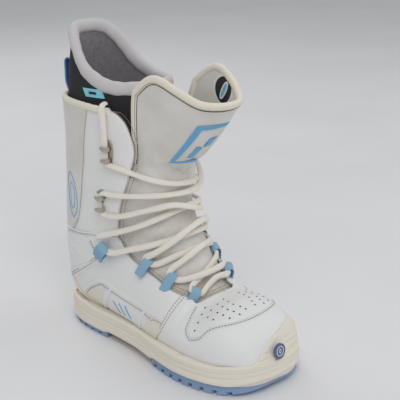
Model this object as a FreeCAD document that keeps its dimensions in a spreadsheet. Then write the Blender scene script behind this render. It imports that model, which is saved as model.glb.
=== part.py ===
import FreeCAD, Part
import math
import os

from FreeCAD import Placement, Rotation, Vector

# Right snowboard boot, lace-up, with a removable liner.
# Modelling frame: toe -Y, heel +Y, outer (lateral) side -X, inner (medial) side +X, floor z = 0.
# Every sub-part is moved by the same placement (0, -frame_shift, 0) so that the origin lies
# under the middle of the whole boot.

DIMENSIONS = {
    "frame_shift": 3.5,
    "sole_rubber": 10.0,
    "heel_rubber": 5.0,
    "waist_height": 7.6,
    "foxing_top": 28.0,
    "lug_depth": 4.5,
    "lug_slot": 4.5,
    "lug_pitch": 13.0,
    "shell_thickness": 3.5,
    "layer_gap": 0.3,
    "tongue_clearance": 0.8,
    "lace_sink": 1.5,
    "liner_thickness": 6.0,
    "tongue_side": 2.0,
    "tongue_front": 5.4,
    "liner_floor": 5.0,
    "board_thickness": 2.6,
    "footbed_thickness": 4.0,
    "shank_width": 24.0,
    "shank_length": 96.0,
    "shank_thickness": 2.4,
    "cushion_radius": 20.0,
    "cushion_height": 6.0,
    "ankle_pivot_y": 62.0,
    "ankle_pivot_z": 104.0,
    "ankle_relief": 5.0,
    "tongue_pivot_y": 2.0,
    "tongue_pivot_z": 186.0,
    "badge_radius": 7.4,
    "badge_height": 2.0,
    "lace_radius": 2.6,
    "webbing_radius": 4.6,
    "webbing_eye": 3.1,
    "webbing_length": 10.0,
    "rivet_radius": 1.4,
    "hook_plate_width": 13.0,
    "hook_plate_height": 27.0,
    "hook_wire": 1.5,
    "loop_width": 26.0,
    "loop_gap": 10.0,
    "loop_thickness": 2.0,
    "loop_height": 33.0,
    "collar_radius": 5.5,
}

# One station: back or bottom point (y, z), front or top point (y, z), lateral and medial half
# width, level of the widest line, power of the lower and of the upper half, crest shift.
SHELL_STATIONS = [
    ((-136.4, 28), (-136, 34), 3, 5, 0.50, 2.2, 2.2, 1),
    ((-134, 24), (-133, 38), 14, 20, 0.50, 2.2, 2.2, 4),
    ((-129, 20), (-126, 54), 31, 38, 0.45, 3.0, 2.2, 3),
    ((-114, 19), (-110, 68), 43, 48, 0.42, 4.0, 2.3, 2),
    ((-92, 19), (-90, 75), 50, 51, 0.40, 4.0, 2.3, 2),
    ((-62, 19), (-64, 74), 53, 49, 0.38, 4.0, 2.2, 8),
    ((-34, 19), (-47, 86), 51, 45, 0.36, 4.0, 2.2, 10),
    ((-4, 20), (-35, 106), 48, 42, 0.36, 4.0, 2.2, 9),
    ((30, 21), (-27, 126), 46, 42, 0.38, 3.6, 2.2, 7),
    ((68, 22), (-21, 143), 46, 43, 0.42, 3.2, 2.2, 5),
    ((104, 23), (-17, 156), 47, 44, 0.45, 3.0, 2.2, 4),
    ((131, 31), (-16, 164), 47, 45, 0.48, 2.8, 2.2, 3),
    ((141, 60), (-15, 171), 49, 47, 0.50, 2.7, 2.3, 1),
    ((142, 100), (-15, 180), 50, 48, 0.50, 2.7, 2.4, 0),
    ((140, 150), (-15, 195), 49, 48, 0.50, 2.6, 2.5, 0),
    ((139, 200), (-15, 216), 48, 47, 0.50, 2.6, 2.5, 0),
    ((139, 252), (-12, 250), 47, 46, 0.50, 2.6, 2.5, 0),
]
# The liner leaves the shell above the ankle and ends higher.
LINER_TOP_STATIONS = [
    ((140, 150), (-11, 190), 49, 48, 0.50, 2.6, 2.5, 0),
    ((139, 200), (-3, 212), 48, 47, 0.50, 2.6, 2.5, 0),
    ((139, 252), (4, 250), 47, 46, 0.50, 2.6, 2.5, 0),
    ((137, 290), (6, 286), 44, 44, 0.50, 2.5, 2.4, 0),
    ((133, 330), (8, 322), 41, 41, 0.50, 2.4, 2.3, 0),
]
ARC_POINTS = 13

SOLE_OUTLINE = [
    (6, -138), (30, -135), (46, -123), (54, -101), (55, -76), (50, -48), (44, -20), (40, 10),
    (38, 45), (39, 85), (37, 112), (27, 132), (0, 139), (-27, 132), (-38, 112), (-42, 85),
    (-43, 45), (-46, 10), (-52, -20), (-57, -52), (-56, -80), (-49, -105), (-36, -124), (-16, -135),
]

# Edge of the lace opening and of the cuff flaps, seen from the side (y, z).
THROAT_LATERAL = [
    (-60, 70), (-46, 72), (-26, 81), (-7, 91), (14, 102), (29, 112), (34, 128), (28, 152),
    (18, 182), (11, 212), (16, 232), (27, 246), (40, 260),
]
THROAT_MEDIAL = [
    (-60, 76), (-46, 87), (-26, 97), (-7, 105), (14, 112), (29, 118), (34, 130), (28, 152),
    (18, 182), (11, 212), (16, 232), (27, 246), (40, 260),
]
# Rear edge of the tongue's lower part, rim of its flare, and the flare's rings:
# height, front, widest line, half width.
TONGUE_REAR = [(-72, 55), (-34, 58), (0, 80), (24, 100), (34, 116), (30, 150), (20, 186), (20, 200)]
TONGUE_RIM = [
    (10, 178), (12, 212), (26, 243), (14, 266), (-2, 284), (-18, 292), (-32, 289), (-52, 278),
    (-66, 269), (-90, 264), (-150, 263),
]
TONGUE_FLARE = [
    (176, -13, 25, 33.0), (190, -18, 25, 33.5), (205, -31, 25, 34), (220, -45, 25, 35),
    (240, -61, 24, 37.2), (265, -78, 20, 41), (300, -98, 10, 46),
]
LINER_RIM = [
    (-30, 272), (8, 274), (38, 272), (66, 276), (90, 288), (108, 308), (124, 321), (150, 323),
]

doc = FreeCAD.newDocument("snowboard_boot")


# ---------------------------------------------------------------- driving dimensions
sheet = doc.addObject("Spreadsheet::Sheet", "dims")
for row, (alias, value) in enumerate(DIMENSIONS.items(), start=1):
    sheet.set("A%d" % row, alias)
    sheet.set("B%d" % row, str(value))
    sheet.setAlias("B%d" % row, alias)
doc.recompute()


def dim(alias):
    """Value of one cell of the sheet, in millimetres."""
    return float(sheet.get(alias))


SHIFT = Vector(0, -dim("frame_shift"), 0)
PARTS = []


# ---------------------------------------------------------------- shape helpers
def signed_power(value, power):
    """Power of a number that keeps the number's sign."""
    return math.copysign(abs(value) ** power, value)


def half_section(station, half, side, floor, front, toe):
    """Points of half a section, bottom to crest, on the lateral (-1) or medial (+1) half.

    The section is a superellipse in the plane through the station's two points. It is inset
    by side, floor and front, as far as a third of its own size.
    """
    (by, bz), (fy, fz), lateral, medial, level, low_power, high_power, crest = station
    length = math.hypot(fy - by, fz - bz)
    uy, uz = (fy - by) / length, (fz - bz) / length
    floor, front = min(floor, 0.4 * length), min(front, 0.4 * length)
    by, bz = by + uy * floor + toe, bz + uz * floor
    fy, fz = fy - uy * front + toe, fz - uz * front
    full = medial if half > 0 else lateral
    width = max(full - side, 0.3 * full)
    points = []
    for step in range(ARC_POINTS):
        angle = math.pi * (1 - step / (ARC_POINTS - 1))
        across, along = math.sin(angle), math.cos(angle)
        power = 2 / (high_power if along > 0 else low_power)
        across, along = signed_power(max(across, 0), power), signed_power(along, power)
        share = level + (1 - level) * along if along > 0 else level * (1 + along)
        x = half * across * width + crest * max(along, 0)
        points.append(Vector(x, by + (fy - by) * share, bz + (fz - bz) * share))
    return points


def toe_offset(index, side):
    """How far an inset section moves back from the toe."""
    return side * max(0.0, 1 - 0.3 * index)


def faceted_solid(rings):
    """Closed solid through rings of points, each ring an outer row and then an inner row back."""
    count = len(rings[0])
    rows = count // 2
    points = [point for ring in rings for point in ring]
    facets = []
    for ring in range(len(rings) - 1):
        for step in range(count):
            low, high = ring * count + step, ring * count + (step + 1) % count
            facets.append((low, high, high + count))
            facets.append((low, high + count, low + count))
    for start, flip in ((0, True), ((len(rings) - 1) * count, False)):
        for step in range(rows - 1):
            near, far = start + step, start + count - 1 - step
            quads = ((near, near + 1, far - 1), (near, far - 1, far))
            facets.extend([quad[::-1] if flip else quad for quad in quads])
    shape = Part.Shape()
    shape.makeShapeFromMesh((points, facets), 0.001)
    solid = Part.makeSolid(shape)
    if solid.Volume < 0:
        solid.reverse()
    return solid


def core(stations, inset, first=0):
    """Solid of everything inside one inset of the skin."""
    rings = []
    for index, station in enumerate(stations[first:], start=first):
        toe = toe_offset(index, inset[0])
        lateral = half_section(station, -1, *inset, toe)
        medial = half_section(station, 1, *inset, toe)
        rings.append(lateral + medial[::-1][1:-1])
    return faceted_solid(rings)


def half_layer(stations, half, outside, inside, first=0):
    """Solid between two insets of the skin, on one half of the boot.

    outside and inside are (side, floor, front) insets in millimetres.
    """
    rings = []
    for index, station in enumerate(stations[first:], start=first):
        out = half_section(station, half, *outside, toe_offset(index, outside[0]))
        back = half_section(station, half, *inside, toe_offset(index, inside[0]))[::-1]
        rings.append(out + back)
    return faceted_solid(rings)


def side_prism(points, x_low, x_high):
    """Prism whose outline is drawn in the side view (y, z) and that spans x_low to x_high."""
    corners = [Vector(x_low, y, z) for y, z in points]
    face = Part.Face(Part.makePolygon(corners + corners[:1]))
    return face.extrude(Vector(x_high - x_low, 0, 0))


def plan_prism(points, z_low, z_high):
    """Prism whose outline is drawn in the plan view (x, y)."""
    corners = [Vector(x, y, z_low) for x, y in points]
    face = Part.Face(Part.makePolygon(corners + corners[:1]))
    return face.extrude(Vector(0, 0, z_high - z_low))


def front_prism(points, y_low, y_high):
    """Prism whose outline is drawn in the front view (x, z)."""
    corners = [Vector(x, y_low, z) for x, z in points]
    face = Part.Face(Part.makePolygon(corners + corners[:1]))
    return face.extrude(Vector(0, y_high - y_low, 0))


def block(x_low, x_high, y_low, y_high, z_low, z_high):
    """Box between two corners."""
    size = (x_high - x_low, y_high - y_low, z_high - z_low)
    return Part.makeBox(*size, Vector(x_low, y_low, z_low))


def largest(shape):
    """Largest solid of a shape: drops the chips that a cut leaves."""
    return max(shape.Solids, key=lambda solid: solid.Volume)


def add_feature(name, shape):
    """Add a sub-part whose shape was made by the functions above."""
    feature = doc.addObject("Part::Feature", name)
    feature.Label = name
    feature.Shape = shape
    feature.Placement = Placement(SHIFT, Rotation())
    PARTS.append(feature)
    return feature


def place(obj, name):
    """Give a parametric sub-part its label and the common placement."""
    obj.Label = name
    obj.Placement = Placement(SHIFT.add(obj.Placement.Base), obj.Placement.Rotation)
    PARTS.append(obj)


# ---------------------------------------------------------------- layers of the boot
WIDE = 90.0
gap = dim("layer_gap")
wall = dim("shell_thickness")
clearance = dim("tongue_clearance")
tongue_side = wall + clearance
tongue_top = tongue_side + dim("lace_sink")
tongue_inner = tongue_side + dim("tongue_side")
tongue_deep = tongue_side + dim("tongue_front")
liner_side = tongue_inner + clearance
liner_front = tongue_deep + clearance
thickness = dim("liner_thickness")
liner_stations = SHELL_STATIONS[:14] + LINER_TOP_STATIONS

# Insets of each surface from the outer skin: side, floor, front.
SKIN = (0, 0, 0)
SHELL_INSIDE = (wall, wall, wall)
TONGUE_OUTSIDE = (tongue_side, tongue_side, tongue_top)
TONGUE_INSIDE = (tongue_inner, tongue_inner, tongue_deep)
LINER_OUTSIDE = (liner_side, tongue_side, liner_front)
LINER_INSIDE = (
    liner_side + thickness,
    tongue_side + dim("liner_floor"),
    liner_front + thickness,
)
HALVES = {"lateral": -1, "medial": 1}
shell = {name: half_layer(SHELL_STATIONS, half, SKIN, SHELL_INSIDE) for name, half in HALVES.items()}
liner = {
    name: half_layer(liner_stations, half, LINER_OUTSIDE, LINER_INSIDE, first=1)
    for name, half in HALVES.items()
}


# ---------------------------------------------------------------- sectors of the two bodies
def sector(pivot, rear_angle, front_angle, upper):
    """Half of the side view above or below two rays from a pivot, angles above horizontal."""
    reach = 300.0
    y, z = pivot
    rear = (y + reach, z + reach * math.tan(math.radians(rear_angle)))
    front = (y - reach, z + reach * math.tan(math.radians(front_angle)))
    far = 500.0 if upper else -200.0
    return side_prism([pivot, front, (front[0], far), (rear[0], far), rear], -WIDE, WIDE)


ankle = (dim("ankle_pivot_y"), dim("ankle_pivot_z"))
lower_sector = sector(ankle, -1.5, 14.0, upper=False)
relief = Part.makeCylinder(
    dim("ankle_relief"), 2 * WIDE, Vector(-WIDE, ankle[0], ankle[1]), Vector(1, 0, 0)
)
cuff_sector = sector(ankle, 2.5, 27.5, upper=True).cut(relief)

tongue_pivot = (dim("tongue_pivot_y"), dim("tongue_pivot_z"))
tongue_low_sector = sector(tongue_pivot, 0.0, -4.0, upper=False)
tongue_relief = Part.makeCylinder(
    3.0, 2 * WIDE, Vector(-WIDE, tongue_pivot[0], tongue_pivot[1]), Vector(1, 0, 0)
)
tongue_high_sector = sector(tongue_pivot, 27.0, 17.0, upper=True).cut(tongue_relief)


# ---------------------------------------------------------------- upper: shell panels
SEAM_GAP = 0.2
VAMP_SEAM = -33.0
STRAP_FRONT = 57.0
BACKSTAY_FRONT = 104.0
CLEAR_OF_THROAT = [(-150, 260), (-150, 120), (-72, 100)]
THROAT = {"lateral": THROAT_LATERAL, "medial": THROAT_MEDIAL}


def panel(name, layer, zone, *cuts):
    """Sub-part that is the part of one layer inside a flat-sided zone, less other prisms."""
    shape = layer.common(zone)
    for cutter in cuts:
        shape = shape.cut(cutter)
    return add_feature(name, largest(shape))


def join(*shapes):
    """One solid out of pieces that share a face."""
    return largest(shapes[0].fuse(list(shapes[1:])))


shell_base = dim("foxing_top") - 5.0
BOARD_SCALE = (0.76, 0.91)
floor_opening = plan_prism([(x * 0.79, y * 0.93) for x, y in SOLE_OUTLINE], 0, 31)
vamp_zone = block(-WIDE, WIDE, -200, VAMP_SEAM - SEAM_GAP, shell_base, 300).cut(floor_opening)
strap_low = [(STRAP_FRONT, 88), (108, 60), (160, 44)]
strap_zone = side_prism(strap_low + [(160, 130), (STRAP_FRONT + 8, 130)], -WIDE, WIDE)
strap_moat = [(y - SEAM_GAP, z - SEAM_GAP) for y, z in strap_low]
strap_space = side_prism(strap_moat + [(160, 130), (STRAP_FRONT + 8 - SEAM_GAP, 130)], -WIDE, WIDE)
quarter_zone = block(-WIDE, WIDE, VAMP_SEAM, 200, shell_base, 300).common(lower_sector)
quarter_zone = quarter_zone.cut(strap_space).cut(floor_opening)
strap_zone = strap_zone.common(lower_sector)
back_zone = block(-WIDE, WIDE, BACKSTAY_FRONT, 200, 0, 400).common(cuff_sector)
front_zone = block(-WIDE, WIDE, -200, BACKSTAY_FRONT - SEAM_GAP, 0, 400).common(cuff_sector)

vamp_halves = []
backstay_halves = []
for side_name in HALVES:
    layer = shell[side_name]
    throat = side_prism(THROAT[side_name] + CLEAR_OF_THROAT, -WIDE, WIDE)
    vamp_halves.append(layer.common(vamp_zone.cut(throat)))
    backstay_halves.append(layer.common(back_zone))
    panel("quarter_" + side_name, layer, quarter_zone.cut(throat))
    panel("ankle_strap_" + side_name, layer, strap_zone)
    panel("cuff_" + side_name, layer, front_zone.cut(throat))
add_feature("vamp", join(*vamp_halves))
add_feature("backstay", join(*backstay_halves))

# ---------------------------------------------------------------- liner
COLLAR_BAND = 13.0
far_corners = [(150, 0), (-200, 0), (-200, 260)]
low_rim = [(y, z - COLLAR_BAND) for y, z in LINER_RIM]
low_rim_gap = [(y, z - COLLAR_BAND + SEAM_GAP) for y, z in LINER_RIM]
liner_zones = {
    "liner_foot": lower_sector,
    "liner_cuff": side_prism(low_rim + far_corners, -WIDE, WIDE).common(cuff_sector),
    "liner_collar": side_prism(low_rim_gap + LINER_RIM[::-1], -WIDE, WIDE),
}
for name, zone in liner_zones.items():
    add_feature(name, join(*[liner[side_name].common(zone) for side_name in HALVES]))

# ---------------------------------------------------------------- tongue
def tongue_ring(level, front, rear, half, inset_side, inset_front):
    """Row of points round the tongue's flare at one height, lateral to medial."""
    points = []
    for step in range(ARC_POINTS):
        angle = math.pi * step / (ARC_POINTS - 1)
        x = -signed_power(math.cos(angle), 2 / 2.6) * (half - inset_side)
        reach = max(math.sin(angle), 0) ** (2 / 2.6)
        points.append(Vector(x, rear + (front + inset_front - rear) * reach, level))
    return points


def flare(outside, inside):
    """Solid between two insets of the flared upper tongue."""
    rings = []
    for level, front, rear, half in TONGUE_FLARE:
        out = tongue_ring(level, front, rear, half, *outside)
        back = tongue_ring(level, front, rear, half, *inside)[::-1]
        rings.append(out + back)
    return faceted_solid(rings)


tongue_low_zone = side_prism(TONGUE_REAR + [(-150, 200), (-150, 60)], -WIDE, WIDE)
tongue_layer = [
    half_layer(SHELL_STATIONS, half, TONGUE_OUTSIDE, TONGUE_INSIDE, first=1)
    for half in HALVES.values()
]
tongue_zones = {
    "tongue_lower": tongue_low_zone.common(lower_sector),
    "tongue_middle": tongue_low_zone.common(cuff_sector).common(tongue_low_sector),
}
for name, zone in tongue_zones.items():
    add_feature(name, join(*[layer.common(zone) for layer in tongue_layer]))

BINDING_WIDTH = 7.0
panel_edge = [(y - 4.5, z - BINDING_WIDTH - 0.5) for y, z in TONGUE_RIM]
binding_edge = [(y - 4.0, z - BINDING_WIDTH) for y, z in TONGUE_RIM]
flare_corners = [(-150, 256), (-150, 170), (TONGUE_RIM[0][0] - 4.0, 170)]
flare_zone = side_prism(panel_edge + flare_corners, -WIDE, WIDE).common(tongue_high_sector)
binding_zone = side_prism(TONGUE_RIM + binding_edge[::-1], -WIDE, WIDE).common(tongue_high_sector)
add_feature("tongue_upper", largest(flare((0, 0), (3.2, 5.0)).common(flare_zone)))
add_feature("tongue_binding", largest(flare((0.1, -0.8), (4.0, 5.8)).common(binding_zone)))
badge_zone = front_prism([(-25, 206), (-22, 247), (15, 246), (10, 203)], -200, 10)
add_feature("tongue_badge", largest(flare((-1.4, -1.4), (-0.5, -0.5)).common(badge_zone)))
label_zone = Part.makeCylinder(9.0, 60, Vector(0, -20, 268), Vector(1, 0, 0))
add_feature("tongue_label", largest(flare((3.3, 5.1), (4.1, 5.9)).common(label_zone)))

# ---------------------------------------------------------------- overlays on the shell
def overlay(name, low, high, zone):
    """Sub-part that lies on the shell between two heights above its skin."""
    layers = [
        half_layer(SHELL_STATIONS, half, (-high, -high, -high), (-low, -low, -low))
        for half in HALVES.values()
    ]
    pieces = [layer.common(zone) for layer in layers]
    return add_feature(name, join(*pieces))


foxing = dim("foxing_top")
bumper_edge = [(-150, 52), (-128, 50), (-112, 38), (-96, 33)]
bumper_zone = side_prism(bumper_edge + [(-96, foxing + gap), (-150, foxing + gap)], -WIDE, WIDE)
overlay("toe_bumper", 0.35, 3.6, bumper_zone)
cap_edge = [(88, foxing + gap), (88, 36), (104, 46), (124, 60), (170, 72)]
cap_zone = side_prism(cap_edge + [(170, foxing + gap)], -WIDE, WIDE)
overlay("heel_cap", 0.1, 2.6, cap_zone)
toe_panel_zone = plan_prism(
    [(-38, -62), (-30, -70), (-24, -84), (-14, -98), (0, -106), (18, -104), (32, -96), (38, -80),
     (34, -66), (14, -70), (0, -68), (-14, -62), (-28, -50)],
    50, 120,
)
overlay("toe_panel", 0.4, 1.6, toe_panel_zone)
for side_name, half in HALVES.items():
    window_zone = side_prism([(-26, 32), (-26, 50), (40, 66), (62, 62), (62, 42), (22, 32)],
                             *sorted((0, half * WIDE)))
    window_layer = half_layer(SHELL_STATIONS, half, (-1.2, -1.2, -1.2), (-0.3, -0.3, -0.3))
    panel("side_window_" + side_name, window_layer, window_zone)
collar_zone = side_prism([(40, 247), (60, 246), (170, 244), (170, 252), (40, 253)], -WIDE, WIDE)
overlay("collar_binding", 0.1, 1.8, collar_zone)

# ---------------------------------------------------------------- sole: bodies with sketches
def origin_plane(body, role):
    """Origin plane of a body, found by its role."""
    return next(item for item in body.Origin.OriginFeatures if item.Role == role)


def sketch_on(body, name, role, offset=0.0):
    """Sketch on one of a body's own origin planes, moved along the plane's normal."""
    sketch = body.newObject("Sketcher::SketchObject", name)
    sketch.AttachmentSupport = (origin_plane(body, role), [""])
    sketch.MapMode = "FlatFace"
    sketch.AttachmentOffset = Placement(Vector(0, 0, offset), Rotation())
    return sketch


def add_outline(sketch, scale=(1.0, 1.0)):
    """Closed smooth outline of the sole, scaled about the middle of the foot."""
    points = [Vector(x * scale[0], y * scale[1], 0) for x, y in SOLE_OUTLINE]
    curve = Part.BSplineCurve()
    curve.interpolate(Points=points, PeriodicFlag=True)
    sketch.addGeometry(curve, False)


def add_rectangle(sketch, x_low, x_high, y_low, y_high):
    """Four lines of a rectangle in a sketch."""
    corners = [(x_low, y_low), (x_high, y_low), (x_high, y_high), (x_low, y_high)]
    for start, end in zip(corners, corners[1:] + corners[:1]):
        sketch.addGeometry(Part.LineSegment(Vector(*start, 0), Vector(*end, 0)), False)


def add_pad(body, sketch, length, name="Pad"):
    """Pad whose length is an expression on the sheet."""
    pad = body.newObject("PartDesign::Pad", name)
    pad.Profile = sketch
    pad.setExpression("Length", length)
    sketch.Visibility = False
    doc.recompute()
    return pad


def add_pocket(body, sketch, name, length=None, through=False):
    """Pocket upwards from its sketch, or through all both ways; it must remove material."""
    before = body.Shape.Volume
    pocket = body.newObject("PartDesign::Pocket", name)
    pocket.Profile = sketch
    if through:
        pocket.Type = "ThroughAll"
        pocket.Midplane = True
    else:
        pocket.Reversed = True
        pocket.setExpression("Length", length)
    doc.recompute()
    if body.Shape.Volume >= before - 1.0:
        raise RuntimeError("%s cuts nothing from %s" % (name, body.Label))
    return pocket


def slot_row(body, name, first_y, count, half_width):
    """Row of cross slots in the tread: one pocket and its linear pattern."""
    sketch = sketch_on(body, name + "Sketch", "XY_Plane")
    add_rectangle(sketch, -half_width, half_width, first_y, first_y + dim("lug_slot"))
    pocket = add_pocket(body, sketch, name + "Slot", "dims.lug_depth")
    pattern = body.newObject("PartDesign::LinearPattern", name + "Pattern")
    pattern.Originals = [pocket]
    pattern.Direction = (sketch, ["V_Axis"])
    pattern.Occurrences = count
    pattern.setExpression("Length", "dims.lug_pitch * %d" % (count - 1))
    body.Tip = pattern
    doc.recompute()


FOREFOOT_END = -19.0
HEEL_START = 62.0
TOE_SPRING = [(-141, -1), (-141, 9), (-128, 4.2), (-114, 1.2), (-100, 0), (-100, -1)]


def outsole(name, height, y_low, y_high):
    """Tread block: the sole outline padded, then cut off at the two ends."""
    body = doc.addObject("PartDesign::Body", name)
    outline = sketch_on(body, name + "Outline", "XY_Plane")
    add_outline(outline)
    add_pad(body, outline, height, name + "Pad")
    for index, (low, high) in enumerate(((-200, y_low), (y_high, 200))):
        if abs(low) < 150 or abs(high) < 150:
            trim = sketch_on(body, "%sTrim%d" % (name, index), "XY_Plane")
            add_rectangle(trim, -WIDE, WIDE, low, high)
            add_pocket(body, trim, "%sEnd%d" % (name, index), through=True)
    return body


forefoot = outsole("outsole_forefoot", "dims.sole_rubber", -200, FOREFOOT_END)
spring = sketch_on(forefoot, "ToeSpring", "YZ_Plane")
for start, end in zip(TOE_SPRING, TOE_SPRING[1:] + TOE_SPRING[:1]):
    spring.addGeometry(Part.LineSegment(Vector(*start, 0), Vector(*end, 0)), False)
add_pocket(forefoot, spring, "ToeSpringCut", through=True)
slot_row(forefoot, "Tread", -118.0, 8, WIDE)
place(forefoot, "outsole_forefoot")

heel = outsole("outsole_heel", "dims.heel_rubber", HEEL_START, 200)
heel_slots = sketch_on(heel, "HeelSlots", "XY_Plane")
for index in range(5):
    low = HEEL_START + 9.0 + index * dim("lug_pitch")
    add_rectangle(heel_slots, -WIDE, WIDE, low, low + dim("lug_slot"))
add_pocket(heel, heel_slots, "HeelSlotCut", "dims.heel_rubber * 0.5")
place(heel, "outsole_heel")

# ---------------------------------------------------------------- midsole and what it holds
BOARD_LEVEL = 20.0
SHANK_CENTRE = 20.0
CUSHION_CENTRE = 98.0


def lay(body, name, level):
    """Raise a body to its level and give it its label."""
    body.Placement = Placement(Vector(0, 0, level), Rotation())
    place(body, name)


board = doc.addObject("PartDesign::Body", "board")
board_sketch = sketch_on(board, "BoardOutline", "XY_Plane")
add_outline(board_sketch, BOARD_SCALE)
add_pad(board, board_sketch, "dims.board_thickness", "BoardPad")
board_form = board.Shape.copy()
lay(board, "lasting_board", BOARD_LEVEL)

shank = doc.addObject("PartDesign::Body", "shank")
shank_sketch = sketch_on(shank, "ShankOutline", "XY_Plane")
half_shank = dim("shank_length") / 2
half_width = dim("shank_width") / 2
add_rectangle(shank_sketch, -half_width, half_width, SHANK_CENTRE - half_shank, SHANK_CENTRE + half_shank)
add_pad(shank, shank_sketch, "dims.shank_thickness", "ShankPad")
shank_level = BOARD_LEVEL - gap - dim("shank_thickness")
lay(shank, "shank", shank_level)

cushion = doc.addObject("Part::Cylinder", "cushion")
cushion.setExpression("Radius", "dims.cushion_radius")
cushion.setExpression("Height", "dims.cushion_height")
cushion_level = BOARD_LEVEL - gap - dim("cushion_height")
cushion.Placement = Placement(Vector(0, CUSHION_CENTRE, cushion_level), Rotation())
doc.recompute()
place(cushion, "heel_cushion")

midsole_block = doc.addObject("PartDesign::Body", "midsole_block")
outline = sketch_on(midsole_block, "MidsoleOutline", "XY_Plane", dim("heel_rubber") + gap)
add_outline(outline)
add_pad(midsole_block, outline, "dims.foxing_top - dims.heel_rubber - dims.layer_gap", "MidsolePad")
steps = ((-200, FOREFOOT_END + 1.0, "dims.sole_rubber - dims.heel_rubber"),
         (FOREFOOT_END + 1.0, HEEL_START, "dims.waist_height - dims.heel_rubber - dims.layer_gap"))
for index, (low, high, depth) in enumerate(steps):
    sketch = sketch_on(midsole_block, "Step%d" % index, "XY_Plane", dim("heel_rubber") + gap)
    add_rectangle(sketch, -WIDE, WIDE, low, high)
    add_pocket(midsole_block, sketch, "StepCut%d" % index, depth)

foot_form = doc.addObject("Part::Feature", "foot_form")
form = core(SHELL_STATIONS, (-gap, -gap, -gap)).common(block(-WIDE, WIDE, -200, 200, BOARD_LEVEL - gap, 90))
for pocket_shape in (
    plan_prism([(x * 0.785, y * 0.93) for x, y in SOLE_OUTLINE], BOARD_LEVEL - gap, 40),
    block(-half_width - gap, half_width + gap, SHANK_CENTRE - half_shank - gap,
          SHANK_CENTRE + half_shank + gap, shank_level - gap, BOARD_LEVEL),
    Part.makeCylinder(dim("cushion_radius") + gap, 10, Vector(0, CUSHION_CENTRE, cushion_level - gap)),
):
    form = form.fuse(pocket_shape)
foot_form.Shape = form
midsole = doc.addObject("Part::Cut", "midsole")
midsole.Base = midsole_block
midsole.Tool = foot_form
doc.recompute()
place(midsole, "midsole")

footbed_inset = tuple(value + gap for value in LINER_INSIDE)
footbed_zone = block(-WIDE, WIDE, -200, 110, 0, 19.0 + footbed_inset[1] + dim("footbed_thickness"))
add_feature("footbed", largest(core(liner_stations, footbed_inset, first=2).common(footbed_zone)))

# ---------------------------------------------------------------- toe badge
badge = doc.addObject("Part::Cylinder", "badge")
badge.setExpression("Radius", "dims.badge_radius")
badge.setExpression("Height", "dims.badge_height")
badge.Placement = Placement(Vector(0, -139.0, 40), Rotation(Vector(1, 0, 0), 83))
doc.recompute()
place(badge, "toe_badge")

# ---------------------------------------------------------------- lace hooks on the cuff
# Middle of each plate (y, z) and the half width of the boot there.
HOOKS = {"lower": (51.0, 156.0, 48.8), "upper": (41.0, 208.0, 47.4)}
HOOK_STEM_BACK = 4.6
HOOK_STEM_RISE = 5.8
HOOK_LIP_REACH = 8.8
rivet_heads = []
for side_name, half in HALVES.items():
    for level_name, (y, z, reach) in HOOKS.items():
        face = half * (reach + 1.3)
        inner_face = half * (reach - 0.9)
        outward = Vector(half, 0, 0)
        width, height = dim("hook_plate_width"), dim("hook_plate_height")
        plate = block(*sorted((inner_face, face)), y - width / 2, y + width / 2,
                      z - height / 2, z + height / 2)
        hook = plate.cut(core(SHELL_STATIONS, (-0.1, -0.1, -0.1)))
        for step in (-1, 1):
            root = Vector(face - half * 0.5, y - HOOK_STEM_BACK, z + step * HOOK_STEM_RISE)
            stem = Part.makeCylinder(dim("hook_wire"), HOOK_LIP_REACH - 0.8, root, outward)
            tip = Vector(half * (reach + HOOK_LIP_REACH), root.y, root.z)
            lip = Part.makeCylinder(dim("hook_wire"), 8.0, tip, Vector(0, 1, 0))
            hook = hook.fuse(stem).fuse(lip)
            seat = Vector(face + half * 0.05, y + 5.0, z + step * 9.8)
            rivet_heads.append(Part.makeCylinder(dim("rivet_radius"), 1.0, seat, outward))
        add_feature("hook_%s_%s" % (side_name, level_name), largest(hook))
add_feature("hook_rivets", Part.makeCompound(rivet_heads))

# ---------------------------------------------------------------- webbing loops for the lace
# Centre and direction of each loop's eye.
LACE_LOOPS = {
    "lace_loop_lateral_1": ((-21, -50, 79), (-0.66, 0.55, 0.5)),
    "lace_loop_lateral_2": ((-30, -27, 91), (-0.35, 0.8, 0.48)),
    "lace_loop_lateral_3": ((-37.5, -1, 102), (-0.2, 0.85, 0.48)),
    "lace_loop_medial_1": ((27, -50, 90), (0.5, 0.72, 0.48)),
    "lace_loop_medial_2": ((33.5, -25, 103), (0.28, 0.84, 0.46)),
    "lace_loop_medial_3": ((39.5, 1, 114), (0.18, 0.88, 0.43)),
    "ankle_loop_lateral": ((-55, 47, 108), (-0.12, 0.75, 0.65)),
    "ankle_loop_medial": ((54, 47, 110), (0.12, 0.75, 0.65)),
}
for name, (centre, direction) in LACE_LOOPS.items():
    ring = doc.addObject("Part::Cylinder", name + "_band")
    eye = doc.addObject("Part::Cylinder", name + "_eye")
    for cylinder, radius in ((ring, "dims.webbing_radius"), (eye, "dims.webbing_eye")):
        cylinder.setExpression("Radius", radius)
        cylinder.setExpression("Height", "dims.webbing_length")
        turn = Rotation(Vector(0, 0, 1), Vector(*direction))
        start = Vector(*centre).sub(Vector(*direction).normalize() * (dim("webbing_length") / 2))
        cylinder.Placement = Placement(start, turn)
    loop = doc.addObject("Part::Cut", name)
    loop.Base = ring
    loop.Tool = eye
    doc.recompute()
    place(loop, name)

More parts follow.
